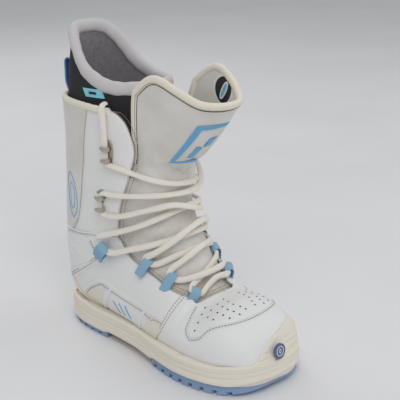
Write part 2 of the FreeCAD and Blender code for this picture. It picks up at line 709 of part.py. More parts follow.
# ---------------------------------------------------------------- pull loop at the back
pull = doc.addObject("PartDesign::Body", "pull")
pull_sketch = sketch_on(pull, "PullOutline", "YZ_Plane")
PULL_REAR = 149.0
thick, gap_width, height = dim("loop_thickness"), dim("loop_gap"), dim("loop_height")
PULL_FOOT = 253.6
crown = PULL_FOOT + height - gap_width / 2 - thick
middle_y = PULL_REAR - thick - gap_width / 2
for radius, reverse in ((gap_width / 2 + thick, False), (gap_width / 2, True)):
    arc = Part.ArcOfCircle(
        Part.Circle(Vector(middle_y, crown, 0), Vector(0, 0, 1), radius), 0, math.pi
    )
    pull_sketch.addGeometry(arc, False)
    for sign in (-1, 1):
        foot = Vector(middle_y + sign * radius, PULL_FOOT, 0)
        top = Vector(middle_y + sign * radius, crown, 0)
        pull_sketch.addGeometry(Part.LineSegment(foot, top), False)
inside = Vector(middle_y - gap_width / 2, PULL_FOOT, 0)
outside = Vector(middle_y - gap_width / 2 - thick, PULL_FOOT, 0)
pull_sketch.addGeometry(Part.LineSegment(inside, outside), False)
# The outer leg ends in a round hem, which is what the loop tilts about.
hem = Part.Circle(Vector(PULL_REAR - thick / 2, PULL_FOOT, 0), Vector(0, 0, 1), thick / 2)
pull_sketch.addGeometry(Part.ArcOfCircle(hem, math.pi, 2 * math.pi), False)
add_pad(pull, pull_sketch, "dims.loop_width", "PullPad").Midplane = True
doc.recompute()
place(pull, "heel_pull_loop")

# ---------------------------------------------------------------- laces
# One lace, in three runs: across the instep through the webbing loops, and one end each side
# from the ankle loop over the tongue, round two hooks and over the cuff's top edge.
LACE_LOWER = [
    (-55.6, 50.4, 111.2), (-54.2, 41.7, 103.4), (-46, 17, 113), (-33, -7, 121), (-18, -21, 127),
    (0, -26.3, 130.5), (20, -23.5, 129), (34.5, -13, 126), (42.6, 4.6, 124.5), (41.4, 7.4, 116.6),
    (38.8, -7.5, 109.7), (31, -24, 113.5), (4, -35.7, 118), (-18.7, -34, 108.8), (-33.3, -22.2, 95.5),
    (-27.5, -32.6, 87.6), (-14.7, -46, 92.8), (1.7, -48.6, 94.1), (17.2, -48.3, 94.8),
    (30.5, -45, 93.4), (23.5, -55, 86.6), (12.5, -49.5, 86.5), (3.6, -50, 84), (-6.5, -51.5, 80.5),
    (-16.4, -53.9, 75.5), (-25.6, -46.1, 82.5), (-11.5, -43.2, 87.0), (3.1, -42.2, 92.3),
    (18.3, -38.4, 97.6), (31.5, -30.9, 99.8), (35.5, -19.1, 106.2), (21.5, -29.0, 114.1),
    (-0.4, -30.0, 114.4), (-22.6, -22.6, 109.3), (-36.1, -7, 98.6), (-38.9, 5, 105.4),
    (-37.5, -10, 113), (-26, -24, 126), (-10, -30.5, 137), (10, -29, 141), (30, -19, 136),
    (43, -4, 128), (51, 18, 119), (53.2, 41.7, 105.4), (54.4, 50.4, 113.0),
]
LACE_FROM_LATERAL = [
    (-56, 52, 121), (-52, 36, 127), (-41, 12, 136), (-27, -7, 147), (-8, -17.5, 154.5),
    (12, -18, 156), (30, -9, 153), (42, 10, 149), (51.5, 30, 144.9), (53, 52.3, 144.6),
    (53, 52.3, 167.4), (51.5, 32, 167.5), (45, 15, 171), (32, -3, 175.5), (10, -16.5, 178.5),
    (-12, -17, 180.5), (-33, -6, 186.5), (-44, 12, 193), (-51, 29, 197.6), (-51.6, 41.3, 197.9),
    (-51.6, 41.6, 222), (-50.9, 43, 242), (-51.2, 45, 256.4), (-44, 46, 256.6),
]
LACE_FROM_MEDIAL = [
    (56, 52, 122), (53, 36, 129), (43, 12, 138), (30, -9.5, 146.5), (14, -23.2, 151.3), (-4, -25.8, 158),
    (-18, -19, 162), (-31, -7, 158), (-42, 10, 152), (-51.5, 30, 145.0), (-53, 52.3, 144.6),
    (-53, 52.3, 167.4), (-51.5, 32, 167.5), (-45, 15, 169), (-32, -3, 170), (-12, -17, 170.5),
    (12, -18, 169.5), (30, -10, 171.5), (42, 3, 179), (49, 17, 189), (51.5, 29, 197.4),
    (51.6, 41.3, 197.9), (51.6, 41.6, 222), (50.4, 43, 242), (50.6, 45, 256.4), (44, 46, 256.6),
]


def cord_wire(points):
    """Straight runs joined by tangent arcs, and the list of the arcs' radii."""
    corners = [Vector(*point) for point in points]
    edges, radii = [], []
    start = corners[0]
    for before, corner, after in zip(corners, corners[1:], corners[2:]):
        back = before.sub(corner)
        ahead = after.sub(corner)
        turn = math.pi - back.getAngle(ahead)
        trim = 0.45 * min(back.Length, ahead.Length)
        radius = trim / math.tan(turn / 2)
        back.normalize()
        ahead.normalize()
        arc_start = corner.add(back * trim)
        arc_end = corner.add(ahead * trim)
        bisector = back.add(ahead).normalize()
        centre = corner.add(bisector * math.hypot(trim, radius))
        middle = centre.sub(bisector * radius)
        edges.append(Part.LineSegment(start, arc_start).toShape())
        edges.append(Part.Arc(arc_start, middle, arc_end).toShape())
        radii.append(round(radius, 1))
        start = arc_end
    edges.append(Part.LineSegment(start, corners[-1]).toShape())
    return Part.Wire(edges), radii


def add_cord(name, points):
    """Round cord along a route; prints the radii and compares volume with length."""
    path, radii = cord_wire(points)
    radius = dim("lace_radius")
    along = Vector(*points[1]).sub(Vector(*points[0]))
    profile = Part.Wire([Part.makeCircle(radius, Vector(*points[0]), along)])
    tube = path.makePipeShell([profile], True, True)
    expected = math.pi * radius ** 2 * path.Length
    print("%s: length %.0f mm, volume %.3f of section x length, least radius %.1f, radii %s"
          % (name, path.Length, tube.Volume / expected, min(radii), radii))
    add_feature(name, largest(tube) if tube.Solids else Part.makeSolid(tube))


add_cord("lace_lower", LACE_LOWER)
add_cord("lace_upper_lateral", LACE_FROM_LATERAL)
add_cord("lace_upper_medial", LACE_FROM_MEDIAL)

# ---------------------------------------------------------------- export
doc.recompute()
os.makedirs("parts", exist_ok=True)
for obj in PARTS:
    if "Invalid" in obj.State or "Error" in obj.State:
        raise RuntimeError("%s is %s" % (obj.Label, obj.State))
    if obj.Shape.isNull() or not obj.Shape.isValid():
        raise RuntimeError("%s has no valid shape" % obj.Label)
    obj.Shape.exportStep("parts/%s.step" % obj.Label)
    print("%-24s %2d solids %10.0f mm3" % (obj.Label, len(obj.Shape.Solids), obj.Shape.Volume))
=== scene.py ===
"""Right lace-up snowboard boot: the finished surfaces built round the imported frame.

Shapes are worked out in millimetres in the modelling frame (toe -Y, heel +Y, outer side -X,
floor z = 0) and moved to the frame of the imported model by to_frame().
"""

import logging
import math
from dataclasses import dataclass, field
from enum import Enum

import bmesh
import bpy
import numpy as np
from mathutils import Matrix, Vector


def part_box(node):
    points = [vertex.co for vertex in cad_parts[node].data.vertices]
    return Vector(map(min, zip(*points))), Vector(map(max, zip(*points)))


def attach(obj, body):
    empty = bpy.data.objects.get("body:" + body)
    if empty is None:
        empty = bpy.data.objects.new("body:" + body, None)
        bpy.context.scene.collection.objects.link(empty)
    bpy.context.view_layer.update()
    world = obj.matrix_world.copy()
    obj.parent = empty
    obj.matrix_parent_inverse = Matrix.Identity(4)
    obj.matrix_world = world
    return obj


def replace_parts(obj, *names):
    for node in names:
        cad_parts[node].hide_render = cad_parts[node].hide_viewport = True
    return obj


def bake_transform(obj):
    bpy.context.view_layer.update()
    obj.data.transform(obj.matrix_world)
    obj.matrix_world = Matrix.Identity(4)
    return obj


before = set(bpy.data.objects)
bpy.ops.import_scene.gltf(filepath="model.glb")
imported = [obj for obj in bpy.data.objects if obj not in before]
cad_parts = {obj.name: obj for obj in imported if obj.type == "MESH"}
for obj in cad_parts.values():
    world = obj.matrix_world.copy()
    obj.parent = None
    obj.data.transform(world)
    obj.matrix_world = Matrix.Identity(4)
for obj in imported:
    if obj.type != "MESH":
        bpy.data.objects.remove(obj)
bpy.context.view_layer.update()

log = logging.getLogger("boot")
Array = np.ndarray
Color = tuple[float, float, float]

MM = 0.001
FRAME_SHIFT = np.array([0.0, -3.5, 0.0])


class Half(Enum):
    """Side of the boot: the sign of x."""

    LATERAL = -1
    MEDIAL = 1

    @property
    def word(self) -> str:
        """The side's name as it is used in piece names."""
        return self.name.lower()


def to_frame(points: Array) -> Array:
    """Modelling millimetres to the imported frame's metres."""
    return (np.asarray(points, float) + FRAME_SHIFT) * MM


# ---------------------------------------------------------------- curves and grids
def spline(points: Array, count: int, closed: bool = False) -> Array:
    """Catmull-Rom curve through points, resampled evenly by its length.

    Args:
        points: (n, d) points to pass through.
        count: number of samples.
        closed: whether the curve returns to its first point.

    Returns:
        (count, d) samples; a closed curve leaves out its last, repeated point.
    """
    points = np.asarray(points, float)
    total = len(points) if closed else len(points) - 1
    at = np.linspace(0, total, 24 * total + 1)
    index = np.minimum(at.astype(int), total - 1)
    f = (at - index)[:, None]

    def pick(offset: int) -> Array:
        """Control points at an offset from each sample's span."""
        k = index + offset
        return points[k % len(points)] if closed else points[np.clip(k, 0, len(points) - 1)]

    a, b, c, d = pick(-1), pick(0), pick(1), pick(2)
    dense = b + 0.5 * f * (c - a + f * (2 * a - 5 * b + 4 * c - d + f * (3 * (b - c) + d - a)))
    return resample(dense, count + 1)[:-1] if closed else resample(dense, count)


def resample(path: Array, count: int) -> Array:
    """Points at equal steps of length along a dense path."""
    steps = np.linalg.norm(np.diff(path, axis=0), axis=1)
    length = np.concatenate([[0.0], np.cumsum(steps)])
    at = np.linspace(0, length[-1], count)
    return np.stack([np.interp(at, length, path[:, k]) for k in range(path.shape[1])], -1)


def unit(vectors: Array) -> Array:
    """Vectors scaled to length one."""
    return vectors / np.maximum(np.linalg.norm(vectors, axis=-1, keepdims=True), 1e-9)


def smoothstep(x: Array, low: float, high: float) -> Array:
    """0 below low, 1 above high, and 3t^2 - 2t^3 in between."""
    t = np.clip((np.asarray(x, float) - low) / (high - low), 0, 1)
    return t * t * (3 - 2 * t)


def grid_faces(rows: int, cols: int, closed: bool = False, start: int = 0) -> Array:
    """Quads of a grid of vertices, row by row; closed joins the last column to the first."""
    index = start + np.arange(rows * cols).reshape(rows, cols)
    if closed:
        index = np.hstack([index, index[:, :1]])
    quads = np.stack([index[:-1, :-1], index[1:, :-1], index[1:, 1:], index[:-1, 1:]], -1)
    return quads.reshape(-1, 4)


def rim_loop(rows: int, cols: int) -> Array:
    """Indices round the border of a grid, in the order that matches grid_faces."""
    index = np.arange(rows * cols).reshape(rows, cols)
    sides = (index[0, :-1], index[:-1, -1], index[-1, :0:-1], index[:0:-1, 0])
    return np.concatenate(sides)


@dataclass
class Shape:
    """Vertices in millimetres, faces and a flat coordinate for each vertex, in metres."""

    points: Array
    faces: list
    flat: Array

    def outward(self) -> "Shape":
        """The same shape with its faces turned outwards, from the sign of its volume."""
        tris = np.array([f[:3] for f in self.faces] + [[f[0], f[2], f[3]] for f in self.faces if len(f) == 4])
        centred = self.points - self.points.mean(0)
        a, b, c = (centred[tris[:, k]] for k in range(3))
        if float((a * np.cross(b, c)).sum()) < 0:
            self.faces = [face[::-1] for face in self.faces]
        return self


def flat_coordinates(grid: Array) -> Array:
    """Length along rows and along columns of a grid of points, in metres."""
    along = np.linalg.norm(np.diff(grid, axis=1), axis=2).mean(0)
    across = np.linalg.norm(np.diff(grid, axis=0), axis=2).mean(1)
    u = np.concatenate([[0.0], np.cumsum(along)]) * MM
    v = np.concatenate([[0.0], np.cumsum(across)]) * MM
    return np.stack(np.meshgrid(u, v), -1).reshape(-1, 2)


def slab(outer: Array, inner: Array, closed: bool = False) -> Shape:
    """Closed solid between two grids of the same size.

    Args:
        outer: (rows, cols, 3) points of one face.
        inner: (rows, cols, 3) points of the other face.
        closed: whether the columns go all the way round.

    Returns:
        The shape, with its faces outwards.
    """
    rows, cols = outer.shape[:2]
    count = rows * cols
    faces = [grid_faces(rows, cols, closed), grid_faces(rows, cols, closed, count)[:, ::-1]]
    if closed:
        for row, turned in ((0, False), (rows - 1, True)):
            a = row * cols + np.arange(cols)
            b = np.roll(a, -1)
            quad = np.stack([a, b, b + count, a + count], -1)
            faces.append(quad[:, ::-1] if turned else quad)
    else:
        a = rim_loop(rows, cols)
        b = np.roll(a, -1)
        faces.append(np.stack([a, b, b + count, a + count], -1))
    flat = flat_coordinates(outer)
    points = np.concatenate([outer.reshape(-1, 3), inner.reshape(-1, 3)])
    return Shape(points, np.concatenate(faces).tolist(), np.vstack([flat, flat])).outward()


def sweep(
    path: Array, profile: Array, reference: Array, closed: bool = False, taper: Array | None = None
) -> Shape:
    """Profile carried along a path: point = path + N * profile_0 + (T x N) * profile_1.

    Args:
        path: (n, 3) points.
        profile: (m, 2) closed outline.
        reference: a vector, or one for each path point, that N follows.
        closed: whether the path is a ring.
        taper: scale of the profile at each path point.

    Returns:
        The closed shape.
    """
    if closed:
        tangent = unit(np.roll(path, -1, 0) - np.roll(path, 1, 0))
    else:
        tangent = unit(np.gradient(path, axis=0))
    reference = np.broadcast_to(np.asarray(reference, float), path.shape)
    normal = unit(reference - (reference * tangent).sum(-1, keepdims=True) * tangent)
    side = np.cross(tangent, normal)
    scale = np.ones(len(path)) if taper is None else taper
    shaped = profile[None] * scale[:, None, None]
    grid = path[:, None] + normal[:, None] * shaped[..., :1] + side[:, None] * shaped[..., 1:]
    n, m = len(path), len(profile)
    if closed:
        index = np.arange(n * m).reshape(n, m)
        index = np.vstack([index, index[:1]])
        index = np.hstack([index, index[:, :1]])
        quads = np.stack([index[:-1, :-1], index[1:, :-1], index[1:, 1:], index[:-1, 1:]], -1)
        faces = quads.reshape(-1, 4).tolist()
    else:
        faces = grid_faces(n, m, True).tolist()
        faces += [list(range(m)), list(range(n * m - 1, n * m - m - 1, -1))]
    steps = np.concatenate([[0], np.cumsum(np.linalg.norm(np.diff(path, axis=0), axis=1))]) * MM
    round_it = np.linalg.norm(profile - np.roll(profile, 1, 0), axis=1).sum() * MM
    round_steps = (np.arange(m) * round_it / m)[None]
    flat = np.stack(np.broadcast_arrays(steps[:, None], round_steps), -1).reshape(-1, 2)
    return Shape(grid.reshape(-1, 3), faces, flat).outward()


def oval(half_thick: float, half_wide: float, count: int = 12, power: float = 2.0) -> Array:
    """Superellipse outline: |x/a|^p + |y/b|^p = 1, sampled by angle."""
    angle = np.linspace(0, 2 * math.pi, count, endpoint=False)
    c, s = np.cos(angle), np.sin(angle)
    return np.stack(
        [
            half_thick * np.sign(c) * np.abs(c) ** (2 / power),
            half_wide * np.sign(s) * np.abs(s) ** (2 / power),
        ],
        -1,
    )


def edge_steps(length: float, count: int, radius: float) -> Array:
    """Shares of a length from 0 to 1, even in the middle and close near both ends."""
    near = np.array([0.0, 0.12, 0.45, 1.0]) * min(radius / max(length, 1e-6), 0.2)
    middle = np.linspace(near[-1], 1 - near[-1], count)[1:-1]
    return np.concatenate([near, middle, 1 - near[::-1]])


def build(name: str, shape: Shape, finish: "Finish", angle: float = 42.0) -> bpy.types.Object:
    """Mesh object of a shape, smooth-shaded with sharp edges kept, in its finish."""
    mesh = bpy.data.meshes.new(name)
    mesh.from_pydata(to_frame(shape.points).tolist(), [], shape.faces)
    mesh.update()
    layer = mesh.uv_layers.new(name="Flat")
    corner = np.zeros(len(mesh.loops), np.int32)
    mesh.loops.foreach_get("vertex_index", corner)
    layer.data.foreach_set("uv", shape.flat[corner].astype(np.float32).ravel())
    mesh.polygons.foreach_set("use_smooth", np.ones(len(mesh.polygons), bool))
    mesh.set_sharp_from_angle(angle=math.radians(angle))
    obj = bpy.data.objects.new(name, mesh)
    bpy.context.scene.collection.objects.link(obj)
    mesh.materials.append(finish.material())
    log.info("%s: %d faces", name, len(mesh.polygons))
    return obj


def flexing(obj: bpy.types.Object) -> bpy.types.Object:
    """The piece's placement baked into its mesh."""
    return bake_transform(obj)


# ---------------------------------------------------------------- finishes
class Graph:
    """Node tree of one material, with short ways to add its nodes."""

    def __init__(self, name: str, flat: bool = False) -> None:
        """Start a material; flat reads the piece's own map instead of Object coordinates."""
        self.material = bpy.data.materials.new(name)
        self.material.use_nodes = True
        self.tree = self.material.node_tree
        self.surface = self.tree.nodes["Principled BSDF"]
        source = self.add("ShaderNodeTexCoord")
        self.place = source.outputs["UV" if flat else "Object"]
        self.object = source.outputs["Object"]

    def add(self, kind: str, settings: dict | None = None, **inputs: object) -> bpy.types.Node:
        """Add a node.

        Args:
            kind: Blender's node type.
            settings: attributes of the node.
            inputs: sockets by name, with _ for a space, or i0, i1 for a number; a value or a link.

        Returns:
            The node.
        """
        node = self.tree.nodes.new(kind)
        for key, value in (settings or {}).items():
            setattr(node, key, value)
        for key, value in inputs.items():
            numbered = key[0] == "i" and key[1:].isdigit()
            socket = node.inputs[int(key[1:])] if numbered else node.inputs[key.replace("_", " ")]
            if isinstance(value, bpy.types.NodeSocket):
                self.tree.links.new(value, socket)
            else:
                socket.default_value = value
        return node

    def noise(self, scale: float, detail: float = 3.0, rough: float = 0.55, place: object = None) -> object:
        """Cloudy noise, 0 to 1."""
        node = self.add(
            "ShaderNodeTexNoise", Vector=place or self.place, Scale=scale, Detail=detail, Roughness=rough
        )
        return node.outputs[0]

    def cells(self, scale: float, place: object = None) -> object:
        """Distance to the middle of the nearest cell."""
        return self.add("ShaderNodeTexVoronoi", Vector=place or self.place, Scale=scale).outputs["Distance"]

    def stretched(self, x: float, y: float, z: float) -> object:
        """Object coordinates scaled along each axis."""
        return self.add("ShaderNodeMapping", Vector=self.object, Scale=(x, y, z)).outputs[0]

    def span(
        self, value: object, low: float, high: float, out_low: float = 0.0, out_high: float = 1.0
    ) -> object:
        """Value mapped from one range to another, and held at its ends."""
        return self.add("ShaderNodeMapRange", i0=value, i1=low, i2=high, i3=out_low, i4=out_high).outputs[0]

    def calc(self, operation: str, a: object, b: object = 0.0) -> object:
        """One arithmetic node."""
        return self.add("ShaderNodeMath", {"operation": operation}, i0=a, i1=b).outputs[0]

    def mix(self, share: object, a: object, b: object) -> object:
        """Colour between a and b."""
        a = (*a, 1.0) if isinstance(a, tuple) else a
        b = (*b, 1.0) if isinstance(b, tuple) else b
        node = self.add("ShaderNodeMix", {"data_type": "RGBA"}, i0=share, i6=a, i7=b)
        return node.outputs[2]

    def bump(self, height: object, distance: float, strength: float = 1.0, under: object = None) -> object:
        """Normal of a height field, over another one."""
        node = self.add("ShaderNodeBump", Height=height, Distance=distance, Strength=strength)
        if under is not None:
            self.tree.links.new(under, node.inputs["Normal"])
        return node.outputs[0]

    def axis(self, index: int, place: object = None) -> object:
        """One coordinate."""
        return self.add("ShaderNodeSeparateXYZ", Vector=place or self.place).outputs[index]

    def finish(
        self, color: object, rough: object, normal: object = None, **fixed: float
    ) -> bpy.types.Material:
        """Connect the surface; fixed are values set on the shader's own sockets."""
        for name, value in (("Base Color", color), ("Roughness", rough), ("Normal", normal)):
            if isinstance(value, bpy.types.NodeSocket):
                self.tree.links.new(value, self.surface.inputs[name])
            elif value is not None:
                self.surface.inputs[name].default_value = (*value, 1.0) if isinstance(value, tuple) else value
        for name, value in fixed.items():
            self.surface.inputs[name.replace("_", " ")].default_value = value
        return self.material


@dataclass(frozen=True)
class Finish:
    """One finish; its material is made once and then shared."""

    name: str
    color: Color
    shade: Color

    def material(self) -> bpy.types.Material:
        """The material, from the cache or made now."""
        return bpy.data.materials.get(self.name) or self.make()

    def make(self) -> bpy.types.Material:
        """Make the material."""
        raise NotImplementedError


@dataclass(frozen=True)
class Leather(Finish):
    """Coated leather: fine pebble grain, soft creases, faint dirt in the low places."""

    grain: float = 900.0
    depth: float = 0.00010
    rough: float = 0.42
    dirt: Color = (0.50, 0.42, 0.32)
    dirt_share: float = 0.35
    smudged: bool = False

    def make(self) -> bpy.types.Material:
        """Cells and noise for grain, wide noise for tone, and noise under a height limit for dirt."""
        g = Graph(self.name)
        tone = g.mix(g.span(g.noise(22.0, 4.0), 0.35, 0.72), self.color, self.shade)
        low = g.span(g.axis(2), 0.022, 0.085, 1.0, 0.12)
        spots = g.span(g.noise(75.0, 6.0, 0.68), 0.50, 0.76)
        soiled = g.calc("MULTIPLY", g.calc("MULTIPLY", low, spots), self.dirt_share)
        color = g.mix(soiled, tone, self.dirt)
        scuff = g.span(g.noise(140.0, 5.0, 0.7, g.stretched(1.0, 0.35, 1.0)), 0.64, 0.74)
        color = g.mix(g.calc("MULTIPLY", scuff, 0.10), color, self.dirt)
        if self.smudged:
            rise = g.span(g.axis(2), 0.080, 0.205, 1.0, 0.55)
            band = g.calc("MULTIPLY", rise, g.span(g.axis(2), 0.205, 0.235, 1.0, 0.0))
            cloud = g.span(g.noise(26.0, 4.0, 0.6), 0.44, 0.70)
            color = g.mix(g.calc("MULTIPLY", g.calc("MULTIPLY", band, cloud), 0.75), color, self.dirt)
        grain = g.calc("ADD", g.calc("MULTIPLY", g.cells(self.grain), 0.7), g.noise(self.grain * 0.5, 2.0))
        creases = g.noise(34.0, 3.0, 0.5, g.stretched(0.6, 0.9, 1.7))
        normal = g.bump(grain, self.depth, 0.6, g.bump(creases, 0.0014, 0.45))
        rough = g.span(g.noise(60.0), 0.3, 0.7, self.rough - 0.06, self.rough + 0.12)
        return g.finish(color, rough, normal, Specular_IOR_Level=0.42, Coat_Weight=0.06)


@dataclass(frozen=True)
class Rubber(Finish):
    """Moulded rubber: matt, finely pitted, scuffed and dusty."""

    pits: float = 1500.0
    rough: float = 0.58
    dirt: Color = (0.42, 0.36, 0.28)
    dirt_share: float = 0.3

    def make(self) -> bpy.types.Material:
        """Fine noise for pits, streaks along the boot for scuffs."""
        g = Graph(self.name)
        tone = g.mix(g.span(g.noise(40.0, 4.0), 0.35, 0.7), self.color, self.shade)
        streak = g.span(g.noise(120.0, 6.0, 0.7, g.stretched(1.0, 0.3, 2.2)), 0.5, 0.75)
        color = g.mix(g.calc("MULTIPLY", streak, self.dirt_share), tone, self.dirt)
        normal = g.bump(g.noise(self.pits, 2.0), 0.00012, 0.5, g.bump(g.noise(90.0, 3.0), 0.0005, 0.4))
        rough = g.span(g.noise(80.0), 0.3, 0.7, self.rough - 0.08, self.rough + 0.14)
        return g.finish(color, rough, normal, Specular_IOR_Level=0.35)


@dataclass(frozen=True)
class Fleece(Finish):
    """Short brushed pile: mottled, fuzzy, with a soft sheen."""

    def make(self) -> bpy.types.Material:
        """Two sizes of noise make the tufts and the mottling."""
        g = Graph(self.name)
        tufts = g.noise(1100.0, 3.0, 0.7)
        mottle = g.calc("ADD", g.calc("MULTIPLY", tufts, 0.6), g.calc("MULTIPLY", g.noise(230.0, 4.0), 0.4))
        color = g.mix(g.span(mottle, 0.34, 0.66), self.shade, self.color)
        normal = g.bump(tufts, 0.0011, 0.9, g.bump(g.noise(70.0, 3.0), 0.0016, 0.5))
        return g.finish(color, 0.95, normal, Sheen_Weight=0.35, Sheen_Roughness=0.6, Specular_IOR_Level=0.1)


@dataclass(frozen=True)
class Weave(Finish):
    """Woven or knitted textile on the piece's own map: ribs along and across, with painted shade in their
    valleys.
    """

    along: float = 0.0011
    across: float = 0.0016
    depth: float = 0.00022
    sheen: float = 0.15

    def make(self) -> bpy.types.Material:
        """Height = larger of two sine waves, one along each direction of the map; the same height paints the
        valleys in the darker colour as painted shade.
        """
        g = Graph(self.name, flat=True)
        waves = [
            g.calc("SINE", g.calc("MULTIPLY", g.axis(k), 2 * math.pi / pitch))
            for k, pitch in ((0, self.along), (1, self.across))
        ]
        height = g.calc("MAXIMUM", *waves)
        grime = g.span(g.noise(90.0, 5.0, 0.6, g.object), 0.4, 0.72)
        # Painted shade: the rib valleys take the darker colour.
        tone = g.mix(g.span(height, -0.6, 0.9), self.shade, self.color)
        color = g.mix(g.calc("MULTIPLY", grime, 0.45), tone, self.shade)
        bump = g.bump(height, self.depth, 0.7)
        return g.finish(color, 0.8, bump, Sheen_Weight=self.sheen, Specular_IOR_Level=0.2)


@dataclass(frozen=True)
class Braid(Finish):
    """Round braided lace: two families of diagonal strands, with painted shade between them."""

    pitch: float = 0.0032
    strands: float = 320.0

    def make(self) -> bpy.types.Material:
        """Height = larger of sin(u + v) and sin(u - v), with u along the cord and v round it; the same height
        paints the grooves in the darker colour as painted shade.
        """
        g = Graph(self.name, flat=True)
        u = g.calc("MULTIPLY", g.axis(0), 2 * math.pi / self.pitch)
        v = g.calc("MULTIPLY", g.axis(1), 2 * math.pi * self.strands)
        rising, falling = g.calc("SINE", g.calc("ADD", u, v)), g.calc("SINE", g.calc("SUBTRACT", u, v))
        height = g.calc("MAXIMUM", rising, falling)
        # Painted shade: the grooves between the strands take the darker colour.
        tone = g.mix(g.span(height, -0.5, 0.9), self.shade, self.color)
        grime = g.span(g.noise(45.0, 5.0, 0.6, g.object), 0.45, 0.75)
        color = g.mix(g.calc("MULTIPLY", grime, 0.4), tone, self.shade)
        fuzz = g.bump(g.noise(2500.0, 2.0, 0.6, g.object), 0.0002, 0.5)
        bump = g.bump(height, 0.00035, 0.7, fuzz)
        return g.finish(color, 0.86, bump, Sheen_Weight=0.2, Specular_IOR_Level=0.18)


@dataclass(frozen=True)
class Metal(Finish):
    """Plated steel with dark oxide in its hollows."""

    rough: float = 0.3

    def make(self) -> bpy.types.Material:
        """Noise mixes clean plate and oxide."""
        g = Graph(self.name)
        worn = g.span(g.noise(420.0, 5.0, 0.65), 0.42, 0.62)
        rough = g.span(g.noise(300.0), 0.3, 0.7, self.rough - 0.08, self.rough + 0.2)
        color = g.mix(worn, self.color, self.shade)
        return g.finish(color, rough, g.bump(g.noise(900.0), 0.0001, 0.5), Metallic=0.95)


@dataclass(frozen=True)
class Printed(Finish):
    """Printed film or lacquer: nearly even colour with faint wear."""

    rough: float = 0.4

    def make(self) -> bpy.types.Material:
        """Noise for the wear, fine noise for the surface."""
        g = Graph(self.name)
        worn = g.span(g.noise(260.0, 5.0, 0.7), 0.52, 0.75)
        color = g.mix(g.calc("MULTIPLY", worn, 0.5), self.color, self.shade)
        return g.finish(color, self.rough, g.bump(g.noise(1200.0), 0.00006, 0.5), Specular_IOR_Level=0.4)


WHITE = Leather("upper_white", (0.78, 0.772, 0.755), (0.66, 0.64, 0.59))
BACK_SKIN = Leather("upper_back", (0.76, 0.75, 0.715), (0.66, 0.64, 0.58))
CREAM = Leather("upper_cream", (0.75, 0.725, 0.65), (0.66, 0.62, 0.52), grain=1300.0)
TONGUE_SKIN = Leather("tongue_skin", (0.77, 0.765, 0.75), (0.68, 0.65, 0.59), 1100.0, rough=0.5, smudged=True)
BINDING = Leather(
    "binding_cream", (0.70, 0.665, 0.575), (0.60, 0.54, 0.42), grain=1600.0, depth=0.0002, rough=0.6
)
FOXING = Rubber("foxing_cream", (0.70, 0.665, 0.585), (0.60, 0.555, 0.46), dirt_share=0.22)
TREAD = Rubber(
    "rubber_blue", (0.10, 0.20, 0.36), (0.07, 0.15, 0.28), dirt=(0.30, 0.34, 0.38), dirt_share=0.35
)
FLEECE = Fleece("fleece_grey", (0.46, 0.45, 0.455), (0.29, 0.28, 0.285))
LINING = Fleece("fleece_inner", (0.36, 0.34, 0.35), (0.20, 0.19, 0.20))
BLACK = Weave(
    "liner_black", (0.008, 0.008, 0.009), (0.003, 0.003, 0.003), 0.0009, 0.0009, 0.00012, sheen=0.02
)
WEB_BLUE = Weave("webbing_blue", (0.085, 0.215, 0.36), (0.03, 0.07, 0.12), sheen=0.05)
WEB_WHITE = Weave("webbing_white", (0.76, 0.75, 0.70), (0.58, 0.55, 0.48))
# Pull loop's inner face: the lining's own blue, darkened as painted shade inside the loop.
WEB_BLUE_WITH_SHADE = Weave("webbing_blue_with_painted_shade", (0.05, 0.15, 0.46), (0.03, 0.08, 0.25))
LACE = Braid("lace_cream", (0.69, 0.63, 0.53), (0.42, 0.35, 0.25))
NICKEL = Metal("metal_nickel", (0.50, 0.48, 0.44), (0.10, 0.09, 0.075))
NAVY = Printed("badge_navy", (0.012, 0.035, 0.13), (0.03, 0.06, 0.16), 0.3)
BLUE = Printed("badge_blue", (0.025, 0.12, 0.38), (0.08, 0.22, 0.48))
SKY = Printed("badge_sky", (0.16, 0.42, 0.68), (0.22, 0.46, 0.66))
CYAN = Printed("label_cyan", (0.25, 0.66, 0.78), (0.2, 0.5, 0.6))
LABEL_WHITE = Printed("label_white", (0.78, 0.78, 0.76), (0.66, 0.65, 0.62))
LABEL_BLACK = Printed("label_black", (0.015, 0.015, 0.017), (0.05, 0.05, 0.05))
THREAD = Weave("thread_grey", (0.36, 0.31, 0.24), (0.20, 0.17, 0.13), 0.0006, 0.3)
# Near-black painted shade: it fills the punched holes, and makes the dark line at the tongue's binding,
# partly seam thread and partly painted contact shadow.
PAINTED_SHADE = Printed("painted_shade_dark", (0.02, 0.018, 0.016), (0.05, 0.045, 0.04), 0.9)
BOARD = Rubber("board", (0.42, 0.34, 0.24), (0.34, 0.27, 0.19))
FOAM = Rubber("foam", (0.30, 0.31, 0.33), (0.22, 0.23, 0.25), rough=0.85)
STEEL = Metal("shank_plate", (0.50, 0.50, 0.50), (0.30, 0.28, 0.26))


